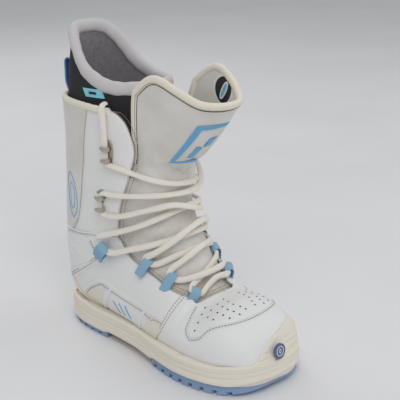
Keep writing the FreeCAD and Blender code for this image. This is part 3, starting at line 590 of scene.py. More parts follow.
# ---------------------------------------------------------------- the boot's form
@dataclass
class BootForm:
    """Skin of the boot: superellipse sections that fan from the toe round the heel to the cuff.

    A place on the skin is (s, t): s counts the sections from the toe, t is the angle from the
    crest (0) to the sole or the back (pi), negative on the outer side.
    """

    sections: tuple = (
        (-136.4, 28, -136, 34, 3, 5, 0.50, 2.2, 2.2, 1),
        (-134, 24, -133, 38, 14, 20, 0.50, 2.2, 2.2, 4),
        (-129, 20, -126, 54, 31, 38, 0.45, 3.0, 2.2, 3),
        (-114, 19, -110, 68, 43, 48, 0.42, 4.0, 2.3, 2),
        (-92, 19, -90, 75, 50, 51, 0.40, 4.0, 2.3, 2),
        (-62, 19, -64, 74, 53, 49, 0.38, 4.0, 2.2, 8),
        (-34, 19, -47, 86, 51, 45, 0.36, 4.0, 2.2, 10),
        (-4, 20, -35, 106, 48, 42, 0.36, 4.0, 2.2, 9),
        (30, 21, -27, 126, 46, 42, 0.38, 3.6, 2.2, 7),
        (68, 22, -21, 143, 46, 43, 0.42, 3.2, 2.2, 5),
        (104, 23, -17, 156, 47, 44, 0.45, 3.0, 2.2, 4),
        (131, 31, -16, 164, 47, 45, 0.48, 2.8, 2.2, 3),
        (141, 60, -15, 171, 49, 47, 0.50, 2.7, 2.3, 1),
        (142, 100, -15, 180, 50, 48, 0.50, 2.7, 2.4, 0),
        (140, 150, -15, 195, 49, 48, 0.50, 2.6, 2.5, 0),
        (139, 200, -15, 216, 48, 47, 0.50, 2.6, 2.5, 0),
        (139, 252, -12, 250, 47, 46, 0.50, 2.6, 2.5, 0),
    )

    def __post_init__(self) -> None:
        """Keep the sections as one array."""
        self.table = np.array(self.sections, float)

    @property
    def last(self) -> float:
        """Number of the last section."""
        return float(len(self.table) - 1)

    def at(self, s: Array) -> Array:
        """The ten section values at s, by Catmull-Rom between the sections."""
        s = np.clip(np.asarray(s, float), 0, self.last)
        i = np.minimum(s.astype(int), len(self.table) - 2)
        f = (s - i)[..., None]
        a, b, c, d = (self.table[np.clip(i + k, 0, len(self.table) - 1)] for k in (-1, 0, 1, 2))
        return b + 0.5 * f * (c - a + f * (2 * a - 5 * b + 4 * c - d + f * (3 * (b - c) + d - a)))

    def skin(self, s: Array, t: Array, inset: tuple = (0.0, 0.0, 0.0)) -> Array:
        """Points of the skin or of a layer under it.

        x = width * sin(t)^(2/p) plus the crest's shift; the other two coordinates go from the
        section's low point to its high point by a share that follows cos(t)^(2/p).

        Args:
            s: section numbers.
            t: angles.
            inset: how far the layer lies inside at the sides, the floor and the front.

        Returns:
            (..., 3) points.
        """
        s, t = np.broadcast_arrays(np.asarray(s, float), np.asarray(t, float))
        t = (t + math.pi) % (2 * math.pi) - math.pi
        half = np.where(t < 0, -1.0, 1.0)
        values = self.at(s)
        by, bz, fy, fz, lateral, medial, level, low, high, crest = (values[..., k] for k in range(10))
        length = np.hypot(fy - by, fz - bz)
        uy, uz = (fy - by) / length, (fz - bz) / length
        floor = np.minimum(inset[1], 0.4 * length)
        front = np.minimum(inset[2], 0.4 * length)
        toe = inset[0] * np.maximum(0, 1 - 0.3 * s)
        y0, z0 = by + uy * floor + toe, bz + uz * floor
        y1, z1 = fy - uy * front + toe, fz - uz * front
        full = np.where(half > 0, medial, lateral)
        width = np.maximum(full - inset[0], 0.3 * full)
        across, along = np.abs(np.sin(t)), np.cos(t)
        power = 2 / np.where(along > 0, high, low)
        across = across**power
        along = np.sign(along) * np.abs(along) ** power
        share = np.where(along > 0, level + (1 - level) * along, level * (1 + along))
        x = half * across * width + crest * np.maximum(along, 0)
        return np.stack([x, y0 + (y1 - y0) * share, z0 + (z1 - z0) * share], -1)

    def normals(self, s: Array, t: Array, inset: tuple = (0.0, 0.0, 0.0)) -> Array:
        """Outward unit normals, from differences of the skin along s and t."""
        s, t = np.broadcast_arrays(np.asarray(s, float), np.asarray(t, float))
        inner = np.clip(s, 0.02, self.last - 0.02)
        ds = self.skin(inner + 0.02, t, inset) - self.skin(inner - 0.02, t, inset)
        dt = self.skin(s, t + 0.02, inset) - self.skin(s, t - 0.02, inset)
        normal = unit(np.cross(dt, ds))
        shrunk = tuple(value + 2.0 for value in inset)
        out = self.skin(s, t, inset) - self.skin(s, t, shrunk)
        return normal * np.where((normal * out).sum(-1, keepdims=True) < 0, -1.0, 1.0)

    def lift(self, s: Array, t: Array, height: Array | float, inset: tuple = (0.0, 0.0, 0.0)) -> Array:
        """Skin points raised along their normals by a height, with the leather's unevenness."""
        base = self.skin(s, t, inset)
        return base + self.normals(s, t, inset) * (np.asarray(height, float) + self.uneven(base))[..., None]

    @staticmethod
    def uneven(points: Array) -> Array:
        """Soft waves all over, and folds across the ankle: sums of sines of position."""
        x, y, z = points[..., 0], points[..., 1], points[..., 2]
        waves = 0.30 * np.sin(0.083 * y + 0.061 * z + 0.9) + 0.22 * np.sin(0.13 * z - 0.071 * y + 0.05 * x)
        ankle = np.exp(-(((z - 122) / 15.0) ** 2)) * smoothstep(y, 90, 20)
        folds = 0.55 * np.sin(0.42 * z + 0.11 * y + 0.6 * np.sin(0.07 * y))
        ball = np.exp(-(((y + 52) / 13.0) ** 2)) * smoothstep(z, 40, 60)
        return waves + ankle * folds + 0.35 * ball * np.sin(0.55 * y + 0.10 * x)

    def locate(self, outline: Array, half: Half) -> Array:
        """(s, t) of side-view points (y, z): nearest of a coarse net, then Newton steps."""
        outline = np.asarray(outline, float)
        net_s, net_h = np.meshgrid(np.linspace(0, self.last, 97), np.linspace(0, 1, 33))
        net = self.chord(net_s.ravel(), net_h.ravel())
        near = np.linalg.norm(outline[:, None] - net[None], axis=2).argmin(1)
        s, h = net_s.ravel()[near].copy(), net_h.ravel()[near].copy()
        for _ in range(12):
            here = self.chord(s, h)
            a = (self.chord(s + 0.01, h) - self.chord(s - 0.01, h)) / 0.02
            b = self.chord(s, h + 0.01) - self.chord(s, h)
            b = b / 0.01
            miss = outline - here
            det = a[:, 0] * b[:, 1] - a[:, 1] * b[:, 0]
            det = np.where(np.abs(det) < 1e-6, 1e-6, det)
            s = np.clip(s + 0.7 * (miss[:, 0] * b[:, 1] - miss[:, 1] * b[:, 0]) / det, 0, self.last)
            h = np.clip(h + 0.7 * (a[:, 0] * miss[:, 1] - a[:, 1] * miss[:, 0]) / det, 0, 1)
        values = self.at(s)
        level, low, high = values[:, 6], values[:, 7], values[:, 8]
        along = np.clip(np.where(h > level, (h - level) / (1 - level), h / level - 1), -1, 1)
        cosine = np.sign(along) * np.abs(along) ** (np.where(h > level, high, low) / 2)
        return np.stack([s, half.value * np.arccos(np.clip(cosine, -1, 1))], -1)

    def chord(self, s: Array, share: Array) -> Array:
        """Side-view point (y, z) at a share of the way from a section's low point to its high."""
        v = self.at(s)
        return v[..., 0:2] + (v[..., 2:4] - v[..., 0:2]) * share[..., None]

    def line(self, outline: list, half: Half, count: int = 60, smooth: bool = True) -> Array:
        """(s, t) curve through side-view points, smooth or straight between them."""
        points = np.asarray(outline, float)
        path = spline(points, count) if smooth else resample(points, count)
        return self.locate(path, half)

    def shifted(self, curve: Array, distance: float) -> Array:
        """(s, t) curve moved sideways on the skin, to the left of its direction seen from outside.

        The move w * (N x T) is written in the two tangents of the skin, which gives the two
        equations solved here for each point.
        """
        s, t = curve[:, 0], curve[:, 1]
        e = (self.skin(s + 0.02, t) - self.skin(s - 0.02, t)) / 0.04
        f = (self.skin(s, t + 0.02) - self.skin(s, t - 0.02)) / 0.04
        tangent = unit(np.gradient(self.skin(s, t), axis=0))
        aim = np.cross(self.normals(s, t), tangent) * distance
        ee, ff, ef = (e * e).sum(1), (f * f).sum(1), (e * f).sum(1)
        ea, fa = (e * aim).sum(1), (f * aim).sum(1)
        det = np.maximum(ee * ff - ef * ef, 1e-6)
        return np.stack([s + (ea * ff - fa * ef) / det, t + (fa * ee - ea * ef) / det], -1)

    def patch(self, bottom: Array, top: Array, left: Array | None = None, right: Array | None = None,
              rows: int = 24, cols: int = 60, radius: float = 1.2) -> Array:
        """(s, t) grid inside four border curves, by Coons' formula.

        Each point is the blend of the two borders across plus the blend of the two borders
        along, less the blend of the four corners.

        Args:
            bottom: (s, t) curve of the first row.
            top: curve of the last row, in the same direction.
            left: curve of the first column, straight if None.
            right: curve of the last column, straight if None.
            rows: rows in the middle part.
            cols: columns in the middle part.
            radius: width of the close rows and columns by the border, in millimetres.

        Returns:
            (rows, cols, 2) places.
        """
        middle = self.skin(*(0.5 * (resample(bottom, 40) + resample(top, 40))).T)
        wide = np.linalg.norm(np.diff(middle, axis=0), axis=1).sum()
        tall = np.linalg.norm(self.skin(*bottom[len(bottom) // 2]) - self.skin(*top[len(top) // 2]))
        u = edge_steps(wide, cols, radius)
        v = edge_steps(tall, rows, radius)
        left = np.stack([bottom[0], top[0]]) if left is None else left
        right = np.stack([bottom[-1], top[-1]]) if right is None else right

        def sample(curve: Array, at: Array) -> Array:
            """Curve at shares of its length."""
            steps = np.linalg.norm(np.diff(curve, axis=0), axis=1)
            length = np.concatenate([[0.0], np.cumsum(steps)]) / max(steps.sum(), 1e-9)
            return np.stack([np.interp(at, length, curve[:, k]) for k in (0, 1)], -1)

        b, t, lf, rt = sample(bottom, u), sample(top, u), sample(left, v), sample(right, v)
        uu, vv = u[None, :, None], v[:, None, None]
        across = (1 - vv) * b[None] + vv * t[None]
        along = (1 - uu) * lf[:, None] + uu * rt[:, None]
        corners = (1 - uu) * (1 - vv) * b[0] + uu * (1 - vv) * b[-1] + (1 - uu) * vv * t[0] + uu * vv * t[-1]
        return across + along - corners

    def panel(self, places: Array, thick: float, base: float = 0.0, radius: float = 1.2,
              relief: Array | float = 0.0, soft: tuple = (1, 1, 1, 1)) -> Shape:
        """Panel of leather or rubber over a grid of places.

        Its top is thick above base and rolls down to base at the border as a quarter ellipse.

        Args:
            places: (rows, cols, 2) grid.
            thick: thickness in millimetres.
            base: height of its underside above the skin.
            radius: width of the rolled border.
            relief: height added to the top.
            soft: which borders roll down: first row, last row, first column, last column.

        Returns:
            The closed shape.
        """
        s, t = places[..., 0], places[..., 1]
        flat = self.skin(s, t)
        down = np.linalg.norm(np.diff(flat, axis=0), axis=2)
        over = np.linalg.norm(np.diff(flat, axis=1), axis=2)
        row = np.concatenate([np.zeros((1, s.shape[1])), np.cumsum(down, 0)])
        col = np.concatenate([np.zeros((s.shape[0], 1)), np.cumsum(over, 1)], 1)
        far = 1e3
        gaps = [
            row if soft[0] else row * 0 + far,
            row[-1:] - row if soft[1] else row * 0 + far,
            col if soft[2] else col * 0 + far,
            col[:, -1:] - col if soft[3] else col * 0 + far,
        ]
        gap = np.clip(np.minimum.reduce(gaps) / radius, 0, 1)
        roll = np.sqrt(np.maximum(1 - (1 - gap) ** 2, 0))
        height = base + thick * (0.12 + 0.88 * roll) + relief * roll
        return slab(self.lift(s, t, height), self.lift(s, t, base - 0.0))


FORM = BootForm()


@dataclass
class Stitching:
    """Rows of thread stitches along curves on the skin."""

    pitch: float = 3.0
    length: float = 2.2
    half_width: float = 0.36
    height: float = 0.34

    def row(self, path: Array, normal: Array) -> Shape:
        """One row: an ellipsoid bead for each stitch, copied along the path as arrays.

        Args:
            path: dense (n, 3) points.
            normal: the skin's normal at each point.

        Returns:
            The shape of all its stitches.
        """
        steps = np.concatenate([[0.0], np.cumsum(np.linalg.norm(np.diff(path, axis=0), axis=1))])
        count = max(int(steps[-1] / self.pitch), 1)
        at = (np.arange(count) + 0.5) * steps[-1] / count
        tangent = unit(np.gradient(path, axis=0))

        def pick(values: Array) -> Array:
            """Values at each stitch."""
            return np.stack([np.interp(at, steps, values[:, k]) for k in range(3)], -1)

        place, forward, up = pick(path), unit(pick(tangent)), unit(pick(normal))
        side = unit(np.cross(up, forward))
        angle = np.linspace(0, 2 * math.pi, 6, endpoint=False)
        along = np.array([-0.5, -0.36, 0.0, 0.36, 0.5])
        girth = np.array([0.45, 0.9, 1.0, 0.9, 0.45])
        bead = np.stack(
            np.broadcast_arrays(
                along[:, None] * self.length,
                girth[:, None] * np.cos(angle) * self.half_width,
                girth[:, None] * np.sin(angle) * self.height,
            ),
            -1,
        ).reshape(-1, 3)
        axes = np.stack([forward, side, up], 1)
        points = place[:, None] + np.einsum("vk,nkx->nvx", bead, axes)
        one = grid_faces(5, 6, True).tolist() + [[0, 1, 2, 3, 4, 5], [29, 28, 27, 26, 25, 24]]
        faces = [[k + n * 30 for k in face[::-1]] for n in range(count) for face in one]
        flat = np.tile(bead[:, :2] * MM, (count, 1))
        return Shape(points.reshape(-1, 3), faces, flat)

    def on_form(self, curve: Array, height: float, offsets: tuple = (0.0,)) -> list[Shape]:
        """Rows beside an (s, t) curve at some distances, at a height above the skin."""
        shapes = []
        for offset in offsets:
            s, t = FORM.shifted(curve, offset).T if offset else curve.T
            path = resample(np.column_stack([FORM.lift(s, t, height), FORM.normals(s, t)]), 400)
            shapes.append(self.row(path[:, :3], path[:, 3:]))
        return shapes


def merged(shapes: list[Shape]) -> Shape:
    """Several shapes as one."""
    counts = np.cumsum([0] + [len(shape.points) for shape in shapes])
    faces = [[k + start for k in face] for shape, start in zip(shapes, counts) for face in shape.faces]
    return Shape(np.vstack([s.points for s in shapes]), faces, np.vstack([s.flat for s in shapes]))


def bead(path: Array, radius: float, reference: Array) -> Shape:
    """Thin raised line along a path."""
    return sweep(path, oval(radius, radius, 6), reference)


def bar(path: Array, half_wide: float, half_thick: float, reference: Array) -> Shape:
    """Flat strip with rounded edges along a path."""
    return sweep(path, oval(half_thick, half_wide, 12, 3.0), reference)


# ---------------------------------------------------------------- upper
@dataclass
class Upper:
    """Leather shell: vamp, quarters, cuff flaps, backstay, straps, windows and toe panel."""

    wall: float = 2.6
    overlay: float = 1.1
    foxing_line: tuple = ((-128, 24), (-90, 24), (0, 25), (60, 26), (100, 27), (120, 28), (131, 31))
    seam: tuple = ((-16, 24.5), (-28, 40), (-39, 59), (-43, 77))
    cuff_seam: tuple = ((36, 121), (57, 118), (100, 111), (142, 106))
    flange: tuple = ((36, 121), (33, 135), (27, 160), (19, 182), (13, 203), (12, 214), (14, 224),
                     (21, 239), (30, 247), (38, 250))
    throat_outer: tuple = ((-57, 71), (-46, 75), (-26, 82), (-7, 90), (14, 99), (26, 108), (36, 121))
    throat_inner: tuple = ((-57, 75), (-46, 84), (-26, 96), (-7, 105), (14, 112), (28, 117), (36, 121))
    stitching: Stitching = field(default_factory=Stitching)

    def throat(self, half: Half) -> Array:
        """(s, t) edge of the lace opening, from the crest at its front to the ankle."""
        outline = self.throat_outer if half is Half.LATERAL else self.throat_inner
        tail = FORM.line(list(outline), half, 90)
        start = np.array([[5.12, 0.0], [5.14, half.value * 0.18]])
        return spline(np.vstack([start, tail[::6]]), 140)

    def split(self, half: Half) -> tuple[Array, Array, Array]:
        """Throat before and behind the vamp seam, and the seam from the sole to the throat."""
        edge = self.throat(half)
        y = FORM.skin(*edge.T)[:, 1]
        cut = int(np.abs(y - self.seam[-1][0]).argmin())
        seam = FORM.line(list(self.seam[:-1]), half, 30)
        seam = spline(np.vstack([seam[::6], edge[cut : cut + 1]]), 60)
        return edge[: cut + 1], edge[cut:], seam

    def foxing(self, half: Half, front: float, rear: float) -> Array:
        """(s, t) of the lower border between two places along the boot."""
        dense = FORM.line(list(self.foxing_line), half, 300)
        y = FORM.skin(*dense.T)[:, 1]
        return dense[(y >= front) & (y <= rear)]

    def vamp(self) -> None:
        """Toe leather: a half on each side of the crest, sewn into one and thickened."""
        grids = []
        for half in Half:
            front_edge, _, seam = self.split(half)
            start = np.array([0.35, half.value * 2.6])
            low = np.vstack([start, self.foxing(half, -127, -16)])
            crest = np.stack([np.linspace(0.35, 5.12, 60), np.zeros(60)], -1)
            top = np.vstack([crest, front_edge[1:]])
            left = np.stack([np.full(30, 0.35), np.linspace(half.value * 2.6, 0, 30)], -1)
            places = FORM.patch(low, top, left, seam, 34, 90)
            grids.append(FORM.lift(places[..., 0], places[..., 1], 0.0))
        rows, cols = grids[0].shape[:2]
        shape = Shape(
            np.vstack([grid.reshape(-1, 3) for grid in grids]),
            grid_faces(rows, cols).tolist() + grid_faces(rows, cols, start=rows * cols)[:, ::-1].tolist(),
            np.vstack([flat_coordinates(grid) for grid in grids]),
        )
        obj = build("vamp_leather", shape, WHITE)
        obj = thicken(obj, self.wall)
        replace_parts(flexing(obj), "vamp")

    def sides(self) -> None:
        """Quarter and cuff flap on each side."""
        for half in Half:
            _, edge, seam = self.split(half)
            low = self.foxing(half, -16, 131)
            joint = FORM.line(list(self.cuff_seam), half, 80)
            top = np.vstack([edge, joint[1:]])
            rising = np.linspace(low[-1, 0], joint[-1, 0], 30)
            back = np.stack([rising, np.full(30, half.value * math.pi)], -1)
            low[-1, 1] = half.value * math.pi
            joint[-1, 1] = half.value * math.pi
            top[-1, 1] = half.value * math.pi
            places = FORM.patch(low, top, seam, back, 44, 110)
            quarter = build("quarter_%s_leather" % half.word, self.shell(places), WHITE)
            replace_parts(flexing(quarter), "quarter_" + half.word)

            flange = FORM.line(list(self.flange), half, 90)
            rim = np.array([[16.0, flange[-1, 1]], [16.0, half.value * math.pi]])
            flange[-1, 0] = 16.0
            back = np.array([[joint[-1, 0], half.value * math.pi], [16.0, half.value * math.pi]])
            places = FORM.patch(joint, resample(rim, 60), flange, back, 60, 70)
            cuff = build("cuff_%s_leather" % half.word, self.shell(places), WHITE)
            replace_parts(flexing(cuff), "cuff_" + half.word)

    def shell(self, places: Array) -> Shape:
        """Wall of leather under the skin, its border rolled on the outside."""
        return FORM.panel(places, self.wall, -self.wall, 1.0)

    def backstay(self) -> None:
        """Panel down the back of the cuff, over both flaps."""
        side = ((73, 249.5), (78, 217), (82, 187), (87, 156), (94, 128), (112, 110))
        left = FORM.line(list(side)[::-1], Half.LATERAL, 60)
        right = FORM.line(list(side)[::-1], Half.MEDIAL, 60)
        left[:, 1] = 2 * math.pi + left[:, 1]
        bottom = np.array([left[0], [12.95, math.pi], right[0]])
        top = np.array([left[-1], [15.97, math.pi], right[-1]])
        places = FORM.patch(resample(bottom, 40), resample(top, 40), left, right, 40, 60)
        obj = build("backstay_panel", FORM.panel(places, 0.9, 0.0, 1.0), BACK_SKIN)
        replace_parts(flexing(obj), "backstay")

    def strap(self) -> None:
        """Ankle strap panel on each side, with its two embossed ribs."""
        for half in Half:
            low = FORM.line([(64, 87), (82, 74), (104, 60), (132, 44)], half, 60)
            top = FORM.line([(70, 114), (84, 111), (102, 108), (142, 104)], half, 60)
            front = FORM.line([(64, 87), (64, 94), (65, 102), (70, 114)], half, 30)
            low[-1, 1] = top[-1, 1] = half.value * math.pi
            places = FORM.patch(low, top, front, None, 26, 50)
            shape = FORM.panel(places, self.overlay, 0.05, 1.1)
            obj = build("ankle_strap_%s_panel" % half.word, shape, WHITE)
            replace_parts(flexing(obj), "ankle_strap_" + half.word)
            ribs = []
            for outline in (
                [(126, 92), (112, 93), (99, 94), (95, 91), (98, 87), (124, 80)],
                [(128, 63), (110, 70), (91, 79), (78, 87)],
                [(127, 58), (110, 66), (92, 75), (77, 84)],
                [(126, 112), (100, 114), (84, 116), (72, 119)],
            ):
                s, t = FORM.line(outline, half, 60).T
                ribs.append(bar(FORM.lift(s, t, 1.2), 0.9, 0.55, FORM.normals(s, t)))
            rib = build("ankle_strap_%s_ribs" % half.word, merged(ribs), WHITE)
            flexing(rib)

    def windows(self) -> None:
        """Cream end windows, white middle window and their raised frame, on each side."""
        frame_line = [
            (101, 43), (88, 53), (75, 61), (62, 67), (52, 65.5), (45, 63), (18, 58), (-7, 55), (-33, 54),
        ]
        zones = {
            "front": ([(-19, 28), (4, 28)], [(-32, 50.5), (-10, 51.5)], CREAM),
            "middle": ([(12, 28), (66, 28)], [(-1, 52), (44, 59)], WHITE),
            "rear": ([(74, 29), (96, 30)], [(54, 62), (96, 44)], CREAM),
        }
        for half in Half:
            for word, (low, high, finish) in zones.items():
                bottom, top = FORM.line(low, half, 30), FORM.line(high, half, 30)
                places = FORM.patch(bottom, top, None, None, 14, 24, 0.6)
                obj = build("window_%s_%s" % (word, half.word), FORM.panel(places, 0.45, 0.02, 0.6), finish)
                flexing(obj)
                if word == "middle":
                    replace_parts(obj, "side_window_" + half.word)
            strips = []
            for outline, wide in (
                (frame_line, 2.6),
                ([(46, 63), (56, 50), (72, 28)], 2.0),
                ([(-5, 55), (3, 41), (10, 28)], 2.0),
            ):
                s, t = FORM.line(outline, half, 70).T
                strips.append(bar(FORM.lift(s, t, 0.35), wide, 0.75, FORM.normals(s, t)))
            flexing(build("window_frame_" + half.word, merged(strips), WHITE))
            marks = []
            for k in range(3):
                y = 26 + 9.0 * k
                s, t = FORM.line([(y - 6, 36), (y + 1, 49)], half, 12).T
                marks.append(bar(FORM.lift(s, t, 0.55), 1.0, 0.22, FORM.normals(s, t)))
            flexing(build("window_marks_" + half.word, merged(marks), BLUE))

    def toe_panel(self) -> None:
        """Winged, perforated overlay on the toe, and its holes."""
        half_edge = [(4.67, 1.36), (4.33, 1.28), (4.10, 1.03), (3.68, 0.80), (3.30, 0.58), (3.05, 0.28)]
        front = [(s, -t) for s, t in half_edge] + [(3.0, 0.0)] + [(s + 0.05, t) for s, t in half_edge[::-1]]
        wing = [(4.67, 1.36), (4.93, 1.20), (5.03, 0.92), (5.16, 0.66)]
        bottom = spline(np.array(front), 160)
        left = spline(np.array([(s, -t) for s, t in wing]), 40)
        right = spline(np.array([(s + (0.05 if k == 0 else 0.0), t) for k, (s, t) in enumerate(wing)]), 40)
        top = spline(np.array([left[-1], (5.0, -0.4), (4.95, 0.0), (5.0, 0.4), right[-1]]), 80)
        bottom[0], bottom[-1] = left[0], right[0]
        places = FORM.patch(bottom, top, left, right, 36, 90)
        obj = build("toe_panel_leather", FORM.panel(places, 0.9, 0.05, 1.1), WHITE)
        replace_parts(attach(obj, "lower"), "toe_panel")
        holes = np.array([
            (4.60, 1.16), (4.65, 0.95), (4.75, 0.74), (4.88, 0.57), (4.40, 0.75), (4.10, 0.76), (4.53, 0.56),
            (4.17, 0.56), (3.88, 0.55), (3.55, 0.54), (3.95, 0.37), (3.68, 0.33), (3.38, 0.31), (4.55, 0.36),
            (4.24, 0.37), (3.46, 0.10), (3.72, 0.13), (4.02, 0.18), (4.32, 0.18), (4.62, 0.18),
        ])
        holes = np.vstack([holes * [1, -1], holes])
        self.perforations(holes)
        loop = np.vstack([left[::-1], bottom[1:], right[1:]])
        rows = self.stitching.on_form(loop, 1.05, (-1.9,)) + self.stitching.on_form(loop, 0.2, (1.6,))
        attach(build("toe_panel_stitches", merged(rows), THREAD), "lower")

    def perforations(self, places: Array) -> None:
        """Punched holes: a low rolled rim round a cup, all made as one array and painted near-black as the
        shade inside the hole.
        """
        s, t = places.T
        middle, normal = FORM.lift(s, t, 1.0), FORM.normals(s, t)
        side = unit(np.cross(normal, [0.0, 0.0, 1.0]))
        up = np.cross(side, normal)
        angle = np.linspace(0, 2 * math.pi, 12, endpoint=False)
        radius, height = np.array([1.0, 0.86, 0.72, 0.40]), np.array([-0.10, 0.10, 0.02, -0.04])
        ring = np.stack(np.broadcast_arrays(radius[:, None] * np.cos(angle), radius[:, None] * np.sin(angle),
                                            height[:, None]), -1).reshape(-1, 3)
        points = middle[:, None] + np.einsum("vk,nkx->nvx", ring, np.stack([side, up, normal], 1))
        one = grid_faces(4, 12, True).tolist() + [list(range(36, 48))]
        faces = [[k + n * 48 for k in face] for n in range(len(places)) for face in one]
        shape = Shape(points.reshape(-1, 3), faces, np.tile(ring[:, :2] * MM, (len(places), 1)))
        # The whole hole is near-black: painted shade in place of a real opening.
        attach(build("toe_panel_holes", shape, PAINTED_SHADE), "lower")

    def seams(self) -> None:
        """Double rows of stitches along the edges and seams of each side."""
        for half in Half:
            sign = half.value
            edge = self.throat(half)
            _, _, seam = self.split(half)
            flange = FORM.line(list(self.flange), half, 120)
            rear = FORM.line([(73, 248), (78, 217), (82, 187), (87, 156), (93, 130), (108, 112)], half, 120)
            strap = FORM.line(
                [(70, 111), (66, 101), (65, 92), (66, 88), (82, 76), (104, 62), (128, 47)], half, 120
            )
            window = FORM.line(
                [(99, 41), (88, 51), (75, 59), (62, 65), (52, 63), (18, 56), (-7, 53), (-32, 52)], half, 120
            )
            rows = []
            rows += self.stitching.on_form(edge, 0.1, (2.4 * sign, 5.6 * sign))
            rows += self.stitching.on_form(seam, 0.1, (-1.4, 1.8))
            rows += self.stitching.on_form(flange, 0.1, (2.6 * sign, 6.2 * sign))
            rows += self.stitching.on_form(rear, 0.15, (1.6 * sign, 4.4 * sign))
            rows += self.stitching.on_form(rear, 1.0, (-2.2 * sign,))
            rows += self.stitching.on_form(strap, 1.25, (2.0 * sign, 4.4 * sign))
            rows += self.stitching.on_form(window, 0.6, (-2.6, 2.6))
            flexing(build("seam_stitches_" + half.word, merged(rows), THREAD))

    def back_motif(self) -> None:
        """Outlined slanted lozenge with an inner ring: a plain motif on the back panel."""
        for half in Half:
            lines = []
            for outline, radius in (
                ([(100, 128), (93, 140), (97, 165), (106, 176), (112, 164), (108, 138), (100, 128)], 0.5),
                ([(102, 137), (98, 144), (100, 160), (105, 165), (107, 158), (105, 142), (102, 137)], 0.4),
            ):
                s, t = FORM.line(outline, half, 80, smooth=True).T
                lines.append(bead(FORM.lift(s, t, 1.0), radius, FORM.normals(s, t)))
            flexing(build("back_motif_" + half.word, merged(lines), BLUE))

    def top_binding(self) -> None:
        """Cream textile binding folded over the top edge of the cuff."""
        angles = np.concatenate([np.linspace(-1.34, -math.pi, 70), np.linspace(math.pi, 1.34, 70)[1:]])
        s = np.full(len(angles), 15.93)
        path = FORM.lift(s, angles, -1.0) + [0.0, 0.0, 0.4]
        normal = FORM.normals(s, angles)
        ripple = 1 + 0.05 * np.sin(np.arange(len(angles)) * 1.9)
        shape = sweep(path, oval(2.9, 3.6, 14, 2.8), normal, taper=ripple)
        obj = build("collar_binding_tape", shape, BINDING)
        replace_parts(flexing(obj), "collar_binding")

    def make(self) -> None:
        """All the leather."""
        self.vamp()
        self.sides()
        self.backstay()
        self.strap()
        self.windows()
        self.toe_panel()
        self.seams()
        self.back_motif()
        self.top_binding()


def thicken(obj: bpy.types.Object, thickness: float) -> bpy.types.Object:
    """Merge a skin's doubles and give it a wall inwards, applied to its mesh."""
    work = bmesh.new()
    work.from_mesh(obj.data)
    bmesh.ops.remove_doubles(work, verts=work.verts, dist=0.00002)
    bmesh.ops.recalc_face_normals(work, faces=work.faces)
    work.to_mesh(obj.data)
    work.free()
    solid = obj.modifiers.new("wall", "SOLIDIFY")
    solid.thickness = thickness * MM
    solid.offset = -1.0
    depsgraph = bpy.context.evaluated_depsgraph_get()
    mesh = bpy.data.meshes.new_from_object(obj.evaluated_get(depsgraph))
    obj.modifiers.clear()
    old, obj.data = obj.data, mesh
    bpy.data.meshes.remove(old)
    return obj


